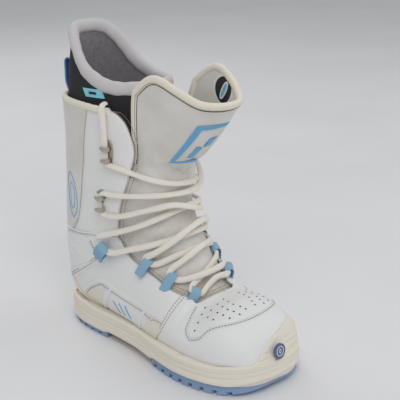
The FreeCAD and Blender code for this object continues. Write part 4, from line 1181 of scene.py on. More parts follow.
# ---------------------------------------------------------------- sole
@dataclass
class Sole:
    """Foxing band, toe bumper, heel counter, and finishes for the moulded parts of the frame."""

    outline: tuple = (
        (6, -138), (30, -135), (46, -123), (54, -101), (55, -76), (50, -48), (44, -20), (40, 10),
        (38, 45), (39, 85), (37, 112), (27, 132), (0, 139), (-27, 132), (-38, 112), (-42, 85),
        (-43, 45), (-46, 10), (-52, -20), (-57, -52), (-56, -80), (-49, -105), (-36, -124), (-16, -135),
    )

    def foxing(self) -> None:
        """Sidewall band: the sole's outline moved out by a profile with two sculpted grooves."""
        line = spline(np.array(self.outline), 300, closed=True)
        tangent = unit(np.roll(line, -1, 0) - np.roll(line, 1, 0))
        out = np.stack([tangent[:, 1], -tangent[:, 0]], -1)
        out *= np.sign((out * line).sum())
        y = line[:, 1]
        low = 10.2 - 2.4 * smoothstep(y, -24, -17) - 2.4 * smoothstep(y, 58, 66)
        low = low + 4.2 * smoothstep(-y, 112, 139)
        high = 28.6 + 1.5 * smoothstep(y, 60, 125) + 2.5 * smoothstep(-y, 95, 125)
        v = np.linspace(0, 1, 44)[:, None]
        ends = np.clip(np.minimum(v, 1 - v) / 0.09, 0, 1)
        roll = np.sqrt(1 - (1 - ends) ** 2)
        forefoot = smoothstep(-y, 16, 30)
        first = np.exp(-(((v - 0.66) / 0.035) ** 2)) * (0.35 + 0.65 * smoothstep(np.abs(y + 64), 34, 22))
        second = np.exp(-(((v - 0.40) / 0.035) ** 2)) * (0.3 + 0.7 * smoothstep(np.abs(y + 92), 30, 20))
        ledge = 0.5 * smoothstep(v, 0.30, 0.20)
        offset = 2.1 * roll + ledge - 1.0 * first * forefoot - 0.9 * second * forefoot
        offset = offset - 0.5 * np.exp(-(((v - 0.55) / 0.05) ** 2)) * (1 - forefoot)
        z = low + (high - low) * v

        def ring(distance: Array) -> Array:
            """Outline moved out by a distance at each height."""
            xy = line[None] + out[None] * distance[..., None]
            return np.concatenate([xy, np.broadcast_to(z[..., None], (*xy.shape[:2], 1))], 2)

        obj = build("foxing_band", slab(ring(offset), ring(np.full_like(offset, -1.2)), closed=True), FOXING)
        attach(obj, "lower")

    def bumper(self) -> None:
        """Toe bumper: a disc of places round the toe's tip, grooved on both sides of the badge."""
        reach = np.array([
            (-3.142, 1.3), (-2.7, 2.1), (-2.4, 2.75), (-2.1, 2.85), (-1.9, 2.35), (-1.7, 1.75), (-1.5, 1.50),
            (-1.2, 1.46), (-0.77, 1.50), (-0.27, 1.60), (0.15, 1.85), (0.57, 2.27), (0.85, 2.6), (1.11, 2.88),
            (1.5, 3.15), (2.0, 3.2), (2.4, 3.0), (2.8, 2.0), (3.142, 1.3),
        ])
        t = np.linspace(-math.pi, math.pi, 181)[:-1]
        s_max = np.interp(t, *reach.T)
        for _ in range(3):
            s_max = (np.roll(s_max, 1) + s_max + np.roll(s_max, -1)) / 3
        v = edge_steps(30.0, 34, 1.6)[3:, None]
        s = 0.02 + (s_max - 0.02)[None] * v
        tt = np.broadcast_to(t, s.shape)
        flat = FORM.skin(s, tt)
        gap = np.clip((1 - v) * 26.0 / 2.2, 0, 1)
        roll = np.sqrt(1 - (1 - gap) ** 2)
        side = smoothstep(np.abs(flat[..., 0] - 2.0), 11, 15)
        z = flat[..., 2]
        groove = sum(np.exp(-(((z - level) / 0.9) ** 2)) for level in (33.5, 39.0, 44.5))
        height = 0.35 + 2.5 * roll - 0.9 * groove * side * smoothstep(roll, 0.6, 1.0)
        shape = slab(FORM.lift(s, tt, height), FORM.lift(s, tt, 0.1), closed=True)
        obj = build("toe_bumper_rubber", shape, FOXING)
        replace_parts(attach(obj, "lower"), "toe_bumper")

    def counter(self) -> None:
        """Rubber heel counter, from one side round the back to the other, with two ridges."""
        grids = []
        for half in Half:
            low = FORM.line([(78, 25), (100, 26), (116, 26.5), (131, 31)], half, 50)
            high = FORM.line([(78, 28.5), (96, 32), (112, 40), (126, 58), (141, 69)], half, 50)
            low[-1, 1] = high[-1, 1] = half.value * math.pi
            grids.append(FORM.patch(low, high, None, None, 30, 50, 1.4))
        both = [FORM.panel(grid, 2.0, 0.15, 1.6, soft=(0, 1, 1, 0)) for grid in grids]
        rows, cols = grids[0].shape[:2]
        count = rows * cols
        outer = [shape.points[:count].reshape(rows, cols, 3) for shape in both]
        inner = [shape.points[count:].reshape(rows, cols, 3) for shape in both]
        wrap = [np.hstack([pair[0], pair[1][:, ::-1][:, 1:]]) for pair in (outer, inner)]
        z = wrap[0][..., 2:]
        middle = wrap[0].mean((0, 1)) - [0, 40, 0]
        groove = sum(np.exp(-(((z - level) / 1.0) ** 2)) for level in (37.0, 50.0))
        wrap[0] = wrap[0] - unit(wrap[0] - middle) * [1, 1, 0] * 0.7 * groove
        obj = build("heel_counter_rubber", slab(*wrap), FOXING)
        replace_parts(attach(obj, "lower"), "heel_cap")

    def badge(self) -> None:
        """Plain ring and a small kite on the round toe badge."""
        low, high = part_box("toe_badge")
        centre = (np.array(low) + np.array(high)) / 2 / MM - FRAME_SHIFT
        tilt = math.radians(83)
        out = np.array([0.0, -math.sin(tilt), math.cos(tilt)])
        up = np.array([0.0, math.cos(tilt), math.sin(tilt)])
        side = np.cross(up, out)
        face = centre + out * 1.05
        angle = np.linspace(0, 2 * math.pi, 48, endpoint=False)[:, None]
        ring = face + 4.6 * (np.cos(angle) * side + np.sin(angle) * up)
        kite = np.array([(0, 2.4), (1.5, 0), (0, -2.4), (-1.5, 0)])
        inner = face + kite[:, :1] * side + kite[:, 1:] * up
        shapes = [
            sweep(ring, oval(0.28, 0.42, 8), out, closed=True),
            sweep(resample(np.vstack([inner, inner[:1]]), 25)[:-1], oval(0.28, 0.35, 8), out, closed=True),
        ]
        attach(build("toe_badge_ring", merged(shapes), LABEL_WHITE), "lower")

    def dress(self) -> None:
        """Finishes of the frame's own parts that show."""
        for node, finish in (
            ("outsole_forefoot", TREAD), ("outsole_heel", TREAD), ("midsole", FOXING), ("toe_badge", NAVY),
            ("shank", STEEL), ("heel_cushion", FOAM), ("lasting_board", BOARD), ("footbed", FOAM),
            ("hook_rivets", NICKEL),
        ):
            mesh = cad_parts[node].data
            mesh.materials.clear()
            mesh.materials.append(finish.material())

    def make(self) -> None:
        """All of the sole."""
        self.foxing()
        self.bumper()
        self.counter()
        self.badge()
        self.dress()


# ---------------------------------------------------------------- tongue
@dataclass
class Tongue:
    """Padded tongue: the part under the laces, the flared channel above, its piping and badge."""

    base_level: float = 186.0
    ease: float = 22.0
    thick: float = 3.4
    power: float = 2.6
    rings: tuple = (
        (176, -12.5, 25, 33.0), (186, -14.5, 25, 33.3), (195, -20, 25, 33.7), (205, -30, 25, 34.2),
        (220, -45, 25, 35.2), (240, -61, 24, 37.4), (265, -78, 20, 41.2), (300, -98, 10, 46.2),
    )
    rim: tuple = (
        (-150, 263), (-90, 264), (-66, 269), (-52, 278), (-32, 289), (-18, 292), (-2, 284), (14, 266),
        (26, 243),
    )

    def __post_init__(self) -> None:
        """Smooth the ring table."""
        self.table = spline(np.array(self.rings, float), 200)

    def point(self, angle: Array, level: Array) -> Array:
        """Point of the channel: x = -cos^(2/p) * half width, y = widest + (front - widest) * sin^(2/p)."""
        angle, level = np.broadcast_arrays(angle, level)
        front, widest, half = (np.interp(level, self.table[:, 0], self.table[:, k]) for k in (1, 2, 3))
        c, s = np.cos(angle), np.clip(np.sin(angle), 0, 1)
        x = -np.sign(c) * np.abs(c) ** (2 / self.power) * half
        return np.stack([x, widest + (front - widest) * s ** (2 / self.power), level], -1)

    def at_x(self, x: Array, level: Array, height: float) -> Array:
        """Point of the channel's front at an x and a level, raised along its normal."""
        half = np.interp(level, self.table[:, 0], self.table[:, 3])
        angle = np.arccos(np.clip(-np.sign(x) * np.abs(x / half) ** (self.power / 2), -1, 1))
        return self.point(angle, level) + self.normal(angle, level) * height

    def normal(self, angle: Array, level: Array) -> Array:
        """Outward normal of the channel, from differences."""
        da = self.point(angle + 0.01, level) - self.point(angle - 0.01, level)
        dl = self.point(angle, level + 0.5) - self.point(angle, level - 0.5)
        normal = unit(np.cross(da, dl))
        out = self.point(angle, level)
        out = out * [1, 1, 0] - [0, 40, 0]
        return normal * np.where((normal * out).sum(-1, keepdims=True) < 0, -1.0, 1.0)

    def tops(self, angle: Array) -> Array:
        """Level at which each column meets the rim, smoothed."""
        level = np.linspace(self.base_level, 299, 400)[:, None]
        y = self.point(angle[None], level)[..., 1]
        over = level >= np.interp(y, *np.array(self.rim, float).T)
        top = level[np.where(over.any(0), over.argmax(0), len(level) - 1), 0]
        for _ in range(6):
            top = np.concatenate([top[:1], (top[:-2] + top[1:-1] + top[2:]) / 3, top[-1:]])
        return top

    def lower(self) -> None:
        """Part under the laces, between the shell and the liner, gently quilted by the lace."""
        bottom = np.stack([np.full(60, 4.55), np.linspace(-1.35, 1.35, 60)], -1)
        outer = FORM.line([(25, 186), (10, 187), (-2, 188), (-10, 188.5), (-14.6, 188.8)], Half.LATERAL, 40)
        inner = outer[::-1] * [1, -1]
        top = np.vstack([outer, inner[1:]])
        left = spline(np.array([bottom[0], (8.0, -1.42), (11.0, -1.34), top[0]]), 60)
        places = FORM.patch(bottom, top, left, left * [1, -1], 90, 70, 2.0)
        s, t = places[..., 0], places[..., 1]
        near = smoothstep(s, 10.5, 13.6)
        base = FORM.skin(s, t, (4.3, 4.3, 5.8))
        raised = FORM.skin(s, t, (3.6, 4.3, 0.6))
        outside = base + (raised - base) * near[..., None]
        puff = 0.5 * np.sin(0.35 * outside[..., 2] + 0.3 * np.sin(0.09 * outside[..., 0]))
        normal = FORM.normals(s, t, (4.3, 4.3, 5.8))
        outside = outside + normal * puff[..., None]
        obj = build("tongue_lower_pad", slab(outside, outside - normal * self.thick), TONGUE_SKIN)
        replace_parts(flexing(obj), "tongue_lower", "tongue_middle")

    def upper(self) -> None:
        """Flared channel; near its foot it eases into the boot's own form."""
        angle = np.linspace(0.05, math.pi - 0.05, 100)
        top = self.tops(angle)
        v = np.linspace(0, 1, 70)[:, None]
        level = self.base_level + (top - self.base_level)[None] * v
        flare = self.point(angle[None], level)
        share = smoothstep(level, self.base_level - 1, self.base_level + self.ease)[..., None]
        foot = flare.copy()
        low = level < self.base_level + self.ease
        for half, side in ((Half.LATERAL, flare[..., 0] < 0), (Half.MEDIAL, flare[..., 0] >= 0)):
            chosen = low & side
            s, t = FORM.locate(flare[chosen][:, 1:], half).T
            foot[chosen] = FORM.skin(s, t, (3.6, 4.3, 0.6))
            foot[chosen, 1:] = flare[chosen][:, 1:]
        outside = foot + (flare - foot) * share
        across = np.gradient(outside, axis=1)
        upward = np.gradient(outside, axis=0)
        normal = unit(np.cross(across, upward))
        out = outside * [1, 1, 0] - [0, 40, 0]
        normal = normal * np.where((normal * out).sum(-1, keepdims=True) < 0, -1.0, 1.0)
        swell = 0.5 * np.sin(0.09 * outside[..., 0] + 0.05 * outside[..., 2]) - 0.7 * np.exp(
            -(((outside[..., 2] - 203) / 7.0) ** 2)
        ) * np.cos(0.12 * outside[..., 0])
        outside = outside + normal * swell[..., None]
        inside = outside - normal * self.thick
        obj = self.hinged(build("tongue_upper_pad", slab(outside, inside), TONGUE_SKIN))
        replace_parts(obj, "tongue_upper")
        self.piping(outside, inside, normal)
        self.label(inside, normal)

    def hinged(self, obj: bpy.types.Object) -> bpy.types.Object:
        """The piece's placement baked into its mesh."""
        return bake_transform(obj)

    def piping(self, outside: Array, inside: Array, normal: Array) -> None:
        """Rolled binding along the rim, a dark line inside it and its stitches; the dark line is partly seam
        thread and partly painted contact shadow.
        """
        middle = (outside + inside) / 2
        edge = np.vstack([middle[12:-1, 0], middle[-1], middle[-2:11:-1, -1]])
        out = np.vstack([normal[12:-1, 0], normal[-1], normal[-2:11:-1, -1]])
        dense = resample(np.column_stack([edge, out]), 260)
        path, facing = dense[:, :3], unit(dense[:, 3:])
        tangent = unit(np.gradient(path, axis=0))
        inward = np.cross(facing, tangent)
        inward *= np.sign((inward * (np.array([0.0, 0.0, 225.0]) - path)).sum(1, keepdims=True).sum())
        tape = sweep(path + inward * 2.4, oval(2.9, 4.0, 16, 2.5), facing)
        obj = self.hinged(build("tongue_piping", tape, BINDING))
        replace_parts(obj, "tongue_binding")
        # Dark bead at the binding's inner edge: partly seam thread, partly painted contact shadow where the
        # binding meets the tongue.
        seam = bead(path + inward * 6.6 + facing * 1.55, 0.45, facing)
        self.hinged(build("tongue_seam", seam, PAINTED_SHADE))
        row = Stitching(2.6, 1.9, 0.3, 0.25).row(path + inward * 4.9 + facing * 2.75, facing)
        self.hinged(build("tongue_stitches", row, THREAD))

    def film(self, corners: Array, height: float) -> Shape:
        """Thin slab over four (x, level) corners of the channel's front."""
        u, v = np.meshgrid(np.linspace(0, 1, 26), np.linspace(0, 1, 26))
        a, b, c, d = (np.array(corner, float) for corner in corners)
        place = ((1 - u) * (1 - v))[..., None] * a + ((1 - u) * v)[..., None] * b
        place = place + (u * v)[..., None] * c + (u * (1 - v))[..., None] * d
        x, level = place[..., 0], place[..., 1]
        return slab(self.at_x(x, level, height), self.at_x(x, level, height - 0.9))

    def badge(self) -> None:
        """Slanted four-sided badge: a thick dark border on two sides and plain bars inside."""
        a, b, c, d = (np.array(p, float) for p in ((-25, 206), (-22, 247), (15, 246), (10, 203)))

        def spot(u: float, v: float) -> Array:
            """Place inside the badge by shares across and up."""
            return (1 - u) * (1 - v) * a + (1 - u) * v * b + u * v * c + u * (1 - v) * d

        def area(*corners: tuple) -> Shape:
            """Film over four (u, v) shares."""
            return self.film([spot(*corner) for corner in corners], 0.85)

        border = [
            area((0, 0), (0, 1), (0.13, 0.9), (0.1, 0.05)),
            area((0, 1), (1, 1), (0.96, 0.93), (0.12, 0.9)),
            area((0, 0), (0.02, 0.05), (0.78, 0.06), (0.8, 0.0)),
        ]
        obj = self.hinged(build("tongue_badge_border", merged(border), BLUE))
        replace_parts(obj, "tongue_badge")
        bars = [
            area((0.30, 0.16), (0.33, 0.44), (0.52, 0.40), (0.48, 0.14)),
            area((0.56, 0.42), (0.58, 0.62), (0.80, 0.66), (0.76, 0.46)),
        ]
        self.hinged(build("tongue_badge_bars", merged(bars), SKY))

    def label(self, inside: Array, normal: Array) -> None:
        """Woven label inside the inner ear: black oval field, white edge, plain blue corner."""
        u, v = np.meshgrid(np.linspace(-1, 1, 30), np.linspace(-1, 1, 30))
        squeeze = np.sqrt(np.clip(1 - 0.5 * v**2, 0, 1)), np.sqrt(np.clip(1 - 0.5 * u**2, 0, 1))
        x, y = u * squeeze[0], v * squeeze[1]
        rows, cols = inside.shape[:2]
        for name, wide, tall, height, finish in (
            ("tongue_label_rim", 11.5, 12.5, 0.5, LABEL_WHITE),
            ("tongue_label_field", 9.6, 10.6, 0.85, LABEL_BLACK),
            ("tongue_label_stripe", 3.0, 8.4, 1.2, LABEL_WHITE), ("tongue_label_core", 1.6, 6.6, 1.5, BLUE),
        ):
            r = np.clip(rows - 1 - (13.0 - tall * y) * rows / 95.0, 0, rows - 1.01)
            c = np.clip(cols * 0.83 + x * wide * cols / 150.0, 0, cols - 1.01)
            i, j = r.astype(int), c.astype(int)
            fr, fc = (r - i)[..., None], (c - j)[..., None]

            def at(grid: Array) -> Array:
                """Bilinear value of a grid at the label's places."""
                low = grid[i, j] * (1 - fc) + grid[i, j + 1] * fc
                high = grid[i + 1, j] * (1 - fc) + grid[i + 1, j + 1] * fc
                return low * (1 - fr) + high * fr

            place, facing = at(inside), -unit(at(normal))
            obj = self.hinged(build(name, slab(place + facing * height, place - facing * 0.4), finish))
            if name.endswith("rim"):
                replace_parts(obj, "tongue_label")

    def make(self) -> None:
        """All of the tongue."""
        self.lower()
        self.upper()
        self.badge()


# ---------------------------------------------------------------- liner
@dataclass
class Liner:
    """Removable liner: black outside, fleece inside and a rolled fleece collar."""

    form: BootForm = field(default_factory=lambda: BootForm(sections=BootForm.sections[:14] + (
        (140, 150, -11, 190, 49, 48, 0.50, 2.6, 2.5, 0),
        (139, 200, -3, 212, 48, 47, 0.50, 2.6, 2.5, 0),
        (139, 252, 4, 250, 47, 46, 0.50, 2.6, 2.5, 0),
        (137, 290, 6, 286, 44, 44, 0.50, 2.5, 2.4, 0),
        (133, 330, 8, 322, 41, 41, 0.50, 2.4, 2.3, 0),
    )))
    rim: tuple = (
        (-30, 272), (8, 274), (38, 272), (66, 276), (90, 288), (108, 308), (124, 321), (150, 323),
    )
    outside: tuple = (7.1, 4.3, 10.5)
    middle: tuple = (9.4, 6.2, 13.0)
    inside: tuple = (13.1, 9.3, 16.5)

    def turns(self) -> Array:
        """Angles round the liner, evenly spaced in length rather than in angle."""
        even = (1 - np.cos(np.linspace(0, math.pi, 61))) / 2
        one = math.pi * (0.65 * even + 0.35 * np.linspace(0, 1, 61))
        return np.concatenate([one, 2 * math.pi - one[-2:0:-1]])

    def tops(self, t: Array) -> Array:
        """Section number at which each column meets the rim."""
        s = np.linspace(13, self.form.last, 300)[:, None]
        line = spline(np.array(self.rim, float), 200)
        points = self.form.skin(s, t[None], self.outside)
        over = points[..., 2] >= np.interp(points[..., 1], *line.T)
        top = s[np.where(over.any(0), over.argmax(0), len(s) - 1), 0]
        for _ in range(4):
            top = (np.roll(top, 1) + top + np.roll(top, -1)) / 3
        return top

    def layer(self, name: str, outer: tuple, inner: tuple, finish: Finish, nodes: tuple) -> bpy.types.Object:
        """Closed sock between two insets, from the toe to the rim."""
        t = self.turns()
        top = self.tops(t) - 0.06
        v = np.linspace(0, 1, 96)[:, None]
        s = 1.6 + (top - 1.6)[None] * v
        tt = np.broadcast_to(t, s.shape)
        puff = 0.5 * np.sin(0.11 * self.form.skin(s, tt)[..., 1:2] + 0.07 * self.form.skin(s, tt)[..., 2:])
        shape = slab(self.form.skin(s, tt, outer) + puff * self.form.normals(s, tt, outer),
                     self.form.skin(s, tt, inner), closed=True)
        obj = flexing(build(name, shape, finish))
        if nodes:
            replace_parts(obj, *nodes)
        return obj

    def collar(self) -> None:
        """Fleece roll round the rim: an oval carried round the top edge."""
        t = self.turns()
        top = self.tops(t)
        path = self.form.skin(top, t, self.middle)
        path[:, 2] -= 3.0
        path = resample(np.vstack([path, path[:1]]), 241)[:-1]
        facing = unit((path - [0, 70, 0]) * [1, 1, 0])
        lump = 1 + 0.03 * np.sin(np.arange(len(path)) * 0.55)
        shape = sweep(path, oval(5.2, 7.0, 20, 2.3), facing, closed=True, taper=lump)
        obj = flexing(build("liner_collar_roll", shape, FLEECE))
        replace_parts(obj, "liner_collar")

    def patch(self, name: str, corners: tuple, height: float, finish: Finish) -> None:
        """Small label on the outer side, over four side-view corners."""
        u, v = np.meshgrid(np.linspace(0, 1, 24), np.linspace(0, 1, 12))
        a, b, c, d = (np.array(corner, float) for corner in corners)
        yz = ((1 - u) * (1 - v))[..., None] * a + ((1 - u) * v)[..., None] * b
        yz = yz + (u * v)[..., None] * c + (u * (1 - v))[..., None] * d
        place = self.form.locate(yz.reshape(-1, 2), Half.LATERAL).reshape(*u.shape, 2)
        base = self.form.skin(place[..., 0], place[..., 1], self.outside)
        normal = self.form.normals(place[..., 0], place[..., 1], self.outside)
        flexing(build(name, slab(base + normal * height, base - normal * 0.4), finish))

    def make(self) -> None:
        """All of the liner."""
        outer = self.layer("liner_shell", self.outside, self.middle, BLACK, ("liner_foot", "liner_cuff"))
        self.layer("liner_lining", self.middle, self.inside, LINING, ())
        self.collar()
        self.patch("liner_label", ((48, 259), (53, 267), (84, 266), (78, 258)), 0.9, CYAN)
        self.patch("liner_label_bar", ((60, 261.5), (61, 264), (73, 263.5), (72, 261)), 1.2, LABEL_BLACK)


# ---------------------------------------------------------------- laces
@dataclass
class LaceRun:
    """One run of the lace: a smooth cord that follows the frame's route."""

    name: str
    points: tuple
    thick: float = 2.0
    wide: float = 3.3

    def centreline(self) -> Array:
        """Points of the NURBS curve whose control points are the route, in millimetres."""
        curve = bpy.data.curves.new(self.name + "_line", "CURVE")
        curve.dimensions = "3D"
        line = curve.splines.new("NURBS")
        line.points.add(len(self.points) - 1)
        place = np.column_stack([to_frame(np.array(self.points)), np.ones(len(self.points))])
        line.points.foreach_set("co", place.astype(np.float32).ravel())
        line.order_u = 3
        line.use_endpoint_u = True
        line.resolution_u = 14
        obj = bpy.data.objects.new(self.name + "_line", curve)
        bpy.context.scene.collection.objects.link(obj)
        mesh = bpy.data.meshes.new_from_object(obj)
        co = np.zeros(len(mesh.vertices) * 3, np.float32)
        mesh.vertices.foreach_get("co", co)
        bpy.data.objects.remove(obj)
        bpy.data.meshes.remove(mesh)
        bpy.data.curves.remove(curve)
        return co.reshape(-1, 3) / MM - FRAME_SHIFT

    def make(self) -> None:
        """Oval cord whose flat side lies on the boot."""
        path = self.centreline()
        facing = path - [0.0, 70.0, 60.0]
        squash = 1 + 0.05 * np.sin(np.arange(len(path)) * 0.23)
        shape = sweep(path, oval(self.thick, self.wide, 14), facing, taper=squash)
        obj = build(self.name + "_cord", shape, LACE)
        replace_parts(flexing(obj), self.name)


@dataclass
class Laces:
    """The lace in its three runs, and the webbing loops that hold it."""

    across: tuple = (
        (-55.6, 50.4, 111.2), (-54.2, 41.7, 103.4), (-46, 17, 113), (-33, -7, 121), (-18, -21, 127),
        (0, -26.3, 130.5), (20, -23.5, 129), (34.5, -13, 126), (42.6, 4.6, 124.5), (41.4, 7.4, 116.6),
        (38.8, -7.5, 109.7), (31, -24, 113.5), (4, -35.7, 118), (-18.7, -34, 108.8), (-33.3, -22.2, 95.5),
        (-27.5, -32.6, 87.6), (-14.7, -46, 92.8), (1.7, -48.6, 94.1), (17.2, -48.3, 94.8),
        (30.5, -45, 93.4), (23.5, -55, 86.6), (12.5, -49.5, 86.5), (3.6, -50, 84), (-6.5, -51.5, 80.5),
        (-16.4, -53.9, 75.5), (-25.6, -46.1, 82.5), (-11.5, -43.2, 87.0), (3.1, -42.2, 92.3),
        (18.3, -38.4, 97.6), (31.5, -30.9, 99.8), (35.5, -19.1, 106.2), (21.5, -29.0, 114.1),
        (-0.4, -30.0, 114.4), (-22.6, -22.6, 109.3), (-36.1, -7, 98.6), (-38.9, 5, 105.4),
        (-37.5, -10, 113), (-26, -24, 126), (-10, -30.5, 137), (10, -29, 141), (30, -19, 136),
        (43, -4, 128), (51, 18, 119), (53.2, 41.7, 105.4), (54.4, 50.4, 113.0),
    )
    outer_end: tuple = (
        (-56, 52, 121), (-52, 36, 127), (-41, 12, 136), (-27, -7, 147), (-8, -17.5, 154.5),
        (12, -18, 156), (30, -9, 153), (42, 10, 149), (51.5, 30, 144.9), (53, 52.3, 144.6),
        (53, 52.3, 167.4), (51.5, 32, 167.5), (45, 15, 171), (32, -3, 175.5), (10, -16.5, 178.5),
        (-12, -17, 180.5), (-33, -6, 186.5), (-44, 12, 193), (-51, 29, 197.6), (-51.6, 41.3, 197.9),
        (-51.6, 41.6, 222), (-50.9, 43, 242), (-51.2, 45, 256.4), (-44, 46, 256.6),
    )
    inner_end: tuple = (
        (56, 52, 122), (53, 36, 129), (43, 12, 138), (30, -9.5, 146.5), (14, -23.2, 151.3), (-4, -25.8, 158),
        (-18, -19, 162), (-31, -7, 158), (-42, 10, 152), (-51.5, 30, 145.0), (-53, 52.3, 144.6),
        (-53, 52.3, 167.4), (-51.5, 32, 167.5), (-45, 15, 169), (-32, -3, 170), (-12, -17, 170.5),
        (12, -18, 169.5), (30, -10, 171.5), (42, 3, 179), (49, 17, 189), (51.5, 29, 197.4),
        (51.6, 41.3, 197.9), (51.6, 41.6, 222), (50.4, 43, 242), (50.6, 45, 256.4), (44, 46, 256.6),
    )
    loops: tuple = (
        ("lace_loop_lateral_1", (-21, -50, 79), (-0.66, 0.55, 0.5)),
        ("lace_loop_lateral_2", (-30, -27, 91), (-0.35, 0.8, 0.48)),
        ("lace_loop_lateral_3", (-37.5, -1, 102), (-0.2, 0.85, 0.48)),
        ("lace_loop_medial_1", (27, -50, 90), (0.5, 0.72, 0.48)),
        ("lace_loop_medial_2", (33.5, -25, 103), (0.28, 0.84, 0.46)),
        ("lace_loop_medial_3", (39.5, 1, 114), (0.18, 0.88, 0.43)),
        ("ankle_loop_lateral", (-55, 47, 108), (-0.12, 0.75, 0.65)),
        ("ankle_loop_medial", (54, 47, 110), (0.12, 0.75, 0.65)),
    )
    band: tuple = (
        (15, -5.5), (9.5, -1.4), (4.6, 2.5), (0, 4.3), (-3.8, 2.6), (-4.7, 0), (-3.6, -2.7), (0, -4.0),
        (4.6, -3.9), (9.5, -4.2), (15, -7.2),
    )

    def loop(self, name: str, centre: tuple, direction: tuple) -> None:
        """Webbing band folded round the lace: a teardrop carried by the band's flat profile."""
        centre, along = np.array(centre, float), unit(np.array(direction, float))
        out = centre - [0.0, 70.0, 60.0]
        if name.startswith("ankle"):
            out = np.array([math.copysign(1.0, centre[0]), -0.45, 0.1])
        out = unit(out - (out @ along) * along)
        tail = np.cross(along, out)
        aim = np.array([0.0, 1.0, 0.15]) if name.startswith("ankle") else np.array([centre[0], 20.0, -20.0])
        tail = tail * math.copysign(1.0, tail @ aim)
        flat = spline(np.array(self.band, float), 60)
        path = centre + flat[:, :1] * tail + flat[:, 1:] * out
        facing = np.cross(unit(np.gradient(path, axis=0)), along)
        wide = 6.6 if name.startswith("ankle") else 4.8
        shape = sweep(path, oval(0.62, wide, 20, 5.0), facing)
        obj = build(name + "_web", shape, WEB_BLUE, 60.0)
        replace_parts(flexing(obj), name)

    def make(self) -> None:
        """The runs, then the loops."""
        LaceRun("lace_lower", self.across).make()
        LaceRun("lace_upper_lateral", self.outer_end).make()
        LaceRun("lace_upper_medial", self.inner_end).make()
        for name, centre, direction in self.loops:
            self.loop(name, centre, direction)


# ---------------------------------------------------------------- hooks and pull loop
@dataclass
class Hook:
    """Double lace hook: a domed plate with two bent prongs."""

    side: Half
    level: str
    y: float
    z: float
    reach: float
    half_wide: float = 6.6
    half_tall: float = 13.6

    def make(self) -> None:
        """Plate as a superellipse dome, prongs as flat strips bent back over the lace."""
        sign = self.side.value
        angle = np.linspace(0, 2 * math.pi, 48, endpoint=False)
        radius = np.array([0.0, 0.35, 0.7, 0.88, 0.96, 1.0])[:, None]
        rim = oval(1.0, 1.0, 48, 2.6)
        y = self.y + self.half_wide * radius * rim[:, 0]
        z = self.z + self.half_tall * radius * rim[:, 1]
        dome = 0.7 * np.sqrt(np.maximum(1 - radius**2, 0)) - 0.35 * np.exp(-(((radius - 0.75) / 0.12) ** 2))
        x = sign * (self.reach + 0.55 + dome)
        outer = np.stack(np.broadcast_arrays(x, y, z), -1)
        inner = outer.copy()
        inner[..., 0] = sign * (self.reach - 0.8)
        parts = [slab(outer, inner, closed=True)]
        for step in (-1, 1):
            root = self.z + step * 5.8
            spine = spline(np.array([
                (self.reach + 0.2, self.y + 0.5, root), (self.reach + 1.2, self.y - 3.0, root),
                (self.reach + 4.0, self.y - 5.4, root), (self.reach + 7.2, self.y - 4.4, root),
                (self.reach + 8.6, self.y - 1.0, root + step * 0.3),
                (self.reach + 8.0, self.y + 3.2, root + step * 0.8),
            ]), 30) * [sign, 1, 1]
            taper = 1 - 0.35 * smoothstep(np.linspace(0, 1, 30), 0.75, 1.0)
            across = np.cross(unit(np.gradient(spine, axis=0)), [0.0, 0.0, 1.0])
            parts.append(sweep(spine, oval(0.75, 2.3, 12, 3.0), across, taper=taper))
        name = "hook_%s_%s" % (self.side.word, self.level)
        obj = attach(build(name + "_metal", merged(parts), NICKEL), "cuff")
        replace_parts(obj, name)


@dataclass
class PullLoop:
    """Webbing pull loop at the back: cream outside, light-blue edges, and inside the lining's blue, painted
    deeper as shade.
    """

    rear: float = 148.0
    front: float = 136.0
    foot: float = 253.6
    crown: float = 280.6
    half_wide: float = 12.5

    def path(self, drop: float) -> Array:
        """Upside-down U in the middle plane: two legs and half an ellipse."""
        middle, reach = (self.rear + self.front) / 2, (self.rear - self.front) / 2
        angle = np.linspace(0, math.pi, 30)
        arch = np.stack([0 * angle, middle + reach * np.cos(angle), self.crown + 5.5 * np.sin(angle)], -1)
        rising = np.linspace(self.foot - drop, self.crown - 1, 12)
        rear = np.stack([np.zeros(12), np.full(12, self.rear), rising], -1)
        rear[:, 1] -= 6.2 * smoothstep(-rear[:, 2], -262, -246)
        falling = np.linspace(self.crown - 1, self.foot - 14, 12)
        front = np.stack([np.zeros(12), np.full(12, self.front), falling], -1)
        return resample(np.vstack([rear, arch, front]), 90)

    def make(self) -> None:
        """Bands as flat profiles carried along the U."""
        path = self.path(16.0)
        tangent = unit(np.gradient(path, axis=0))
        out = np.cross(tangent, [1.0, 0.0, 0.0])
        out *= np.sign((out * (path - [0.0, 142.0, 262.0])).sum())
        parts = (
            ("pull_loop_outer", WEB_WHITE, 0.55, self.half_wide, 0.8),
            ("pull_loop_edge", WEB_BLUE, 0.0, self.half_wide + 1.1, 0.45),
            # Inner face: the lining's blue, painted deeper as the shade inside the loop.
            ("pull_loop_inner", WEB_BLUE_WITH_SHADE, -0.7, self.half_wide - 0.4, 0.5),
        )
        for name, finish, rise, wide, thick in parts:
            shape = sweep(path + out * rise, oval(thick, wide, 20, 6.0), out)
            obj = build(name, shape, finish, 60.0)
            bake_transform(obj)
            if name.endswith("outer"):
                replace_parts(obj, "heel_pull_loop")


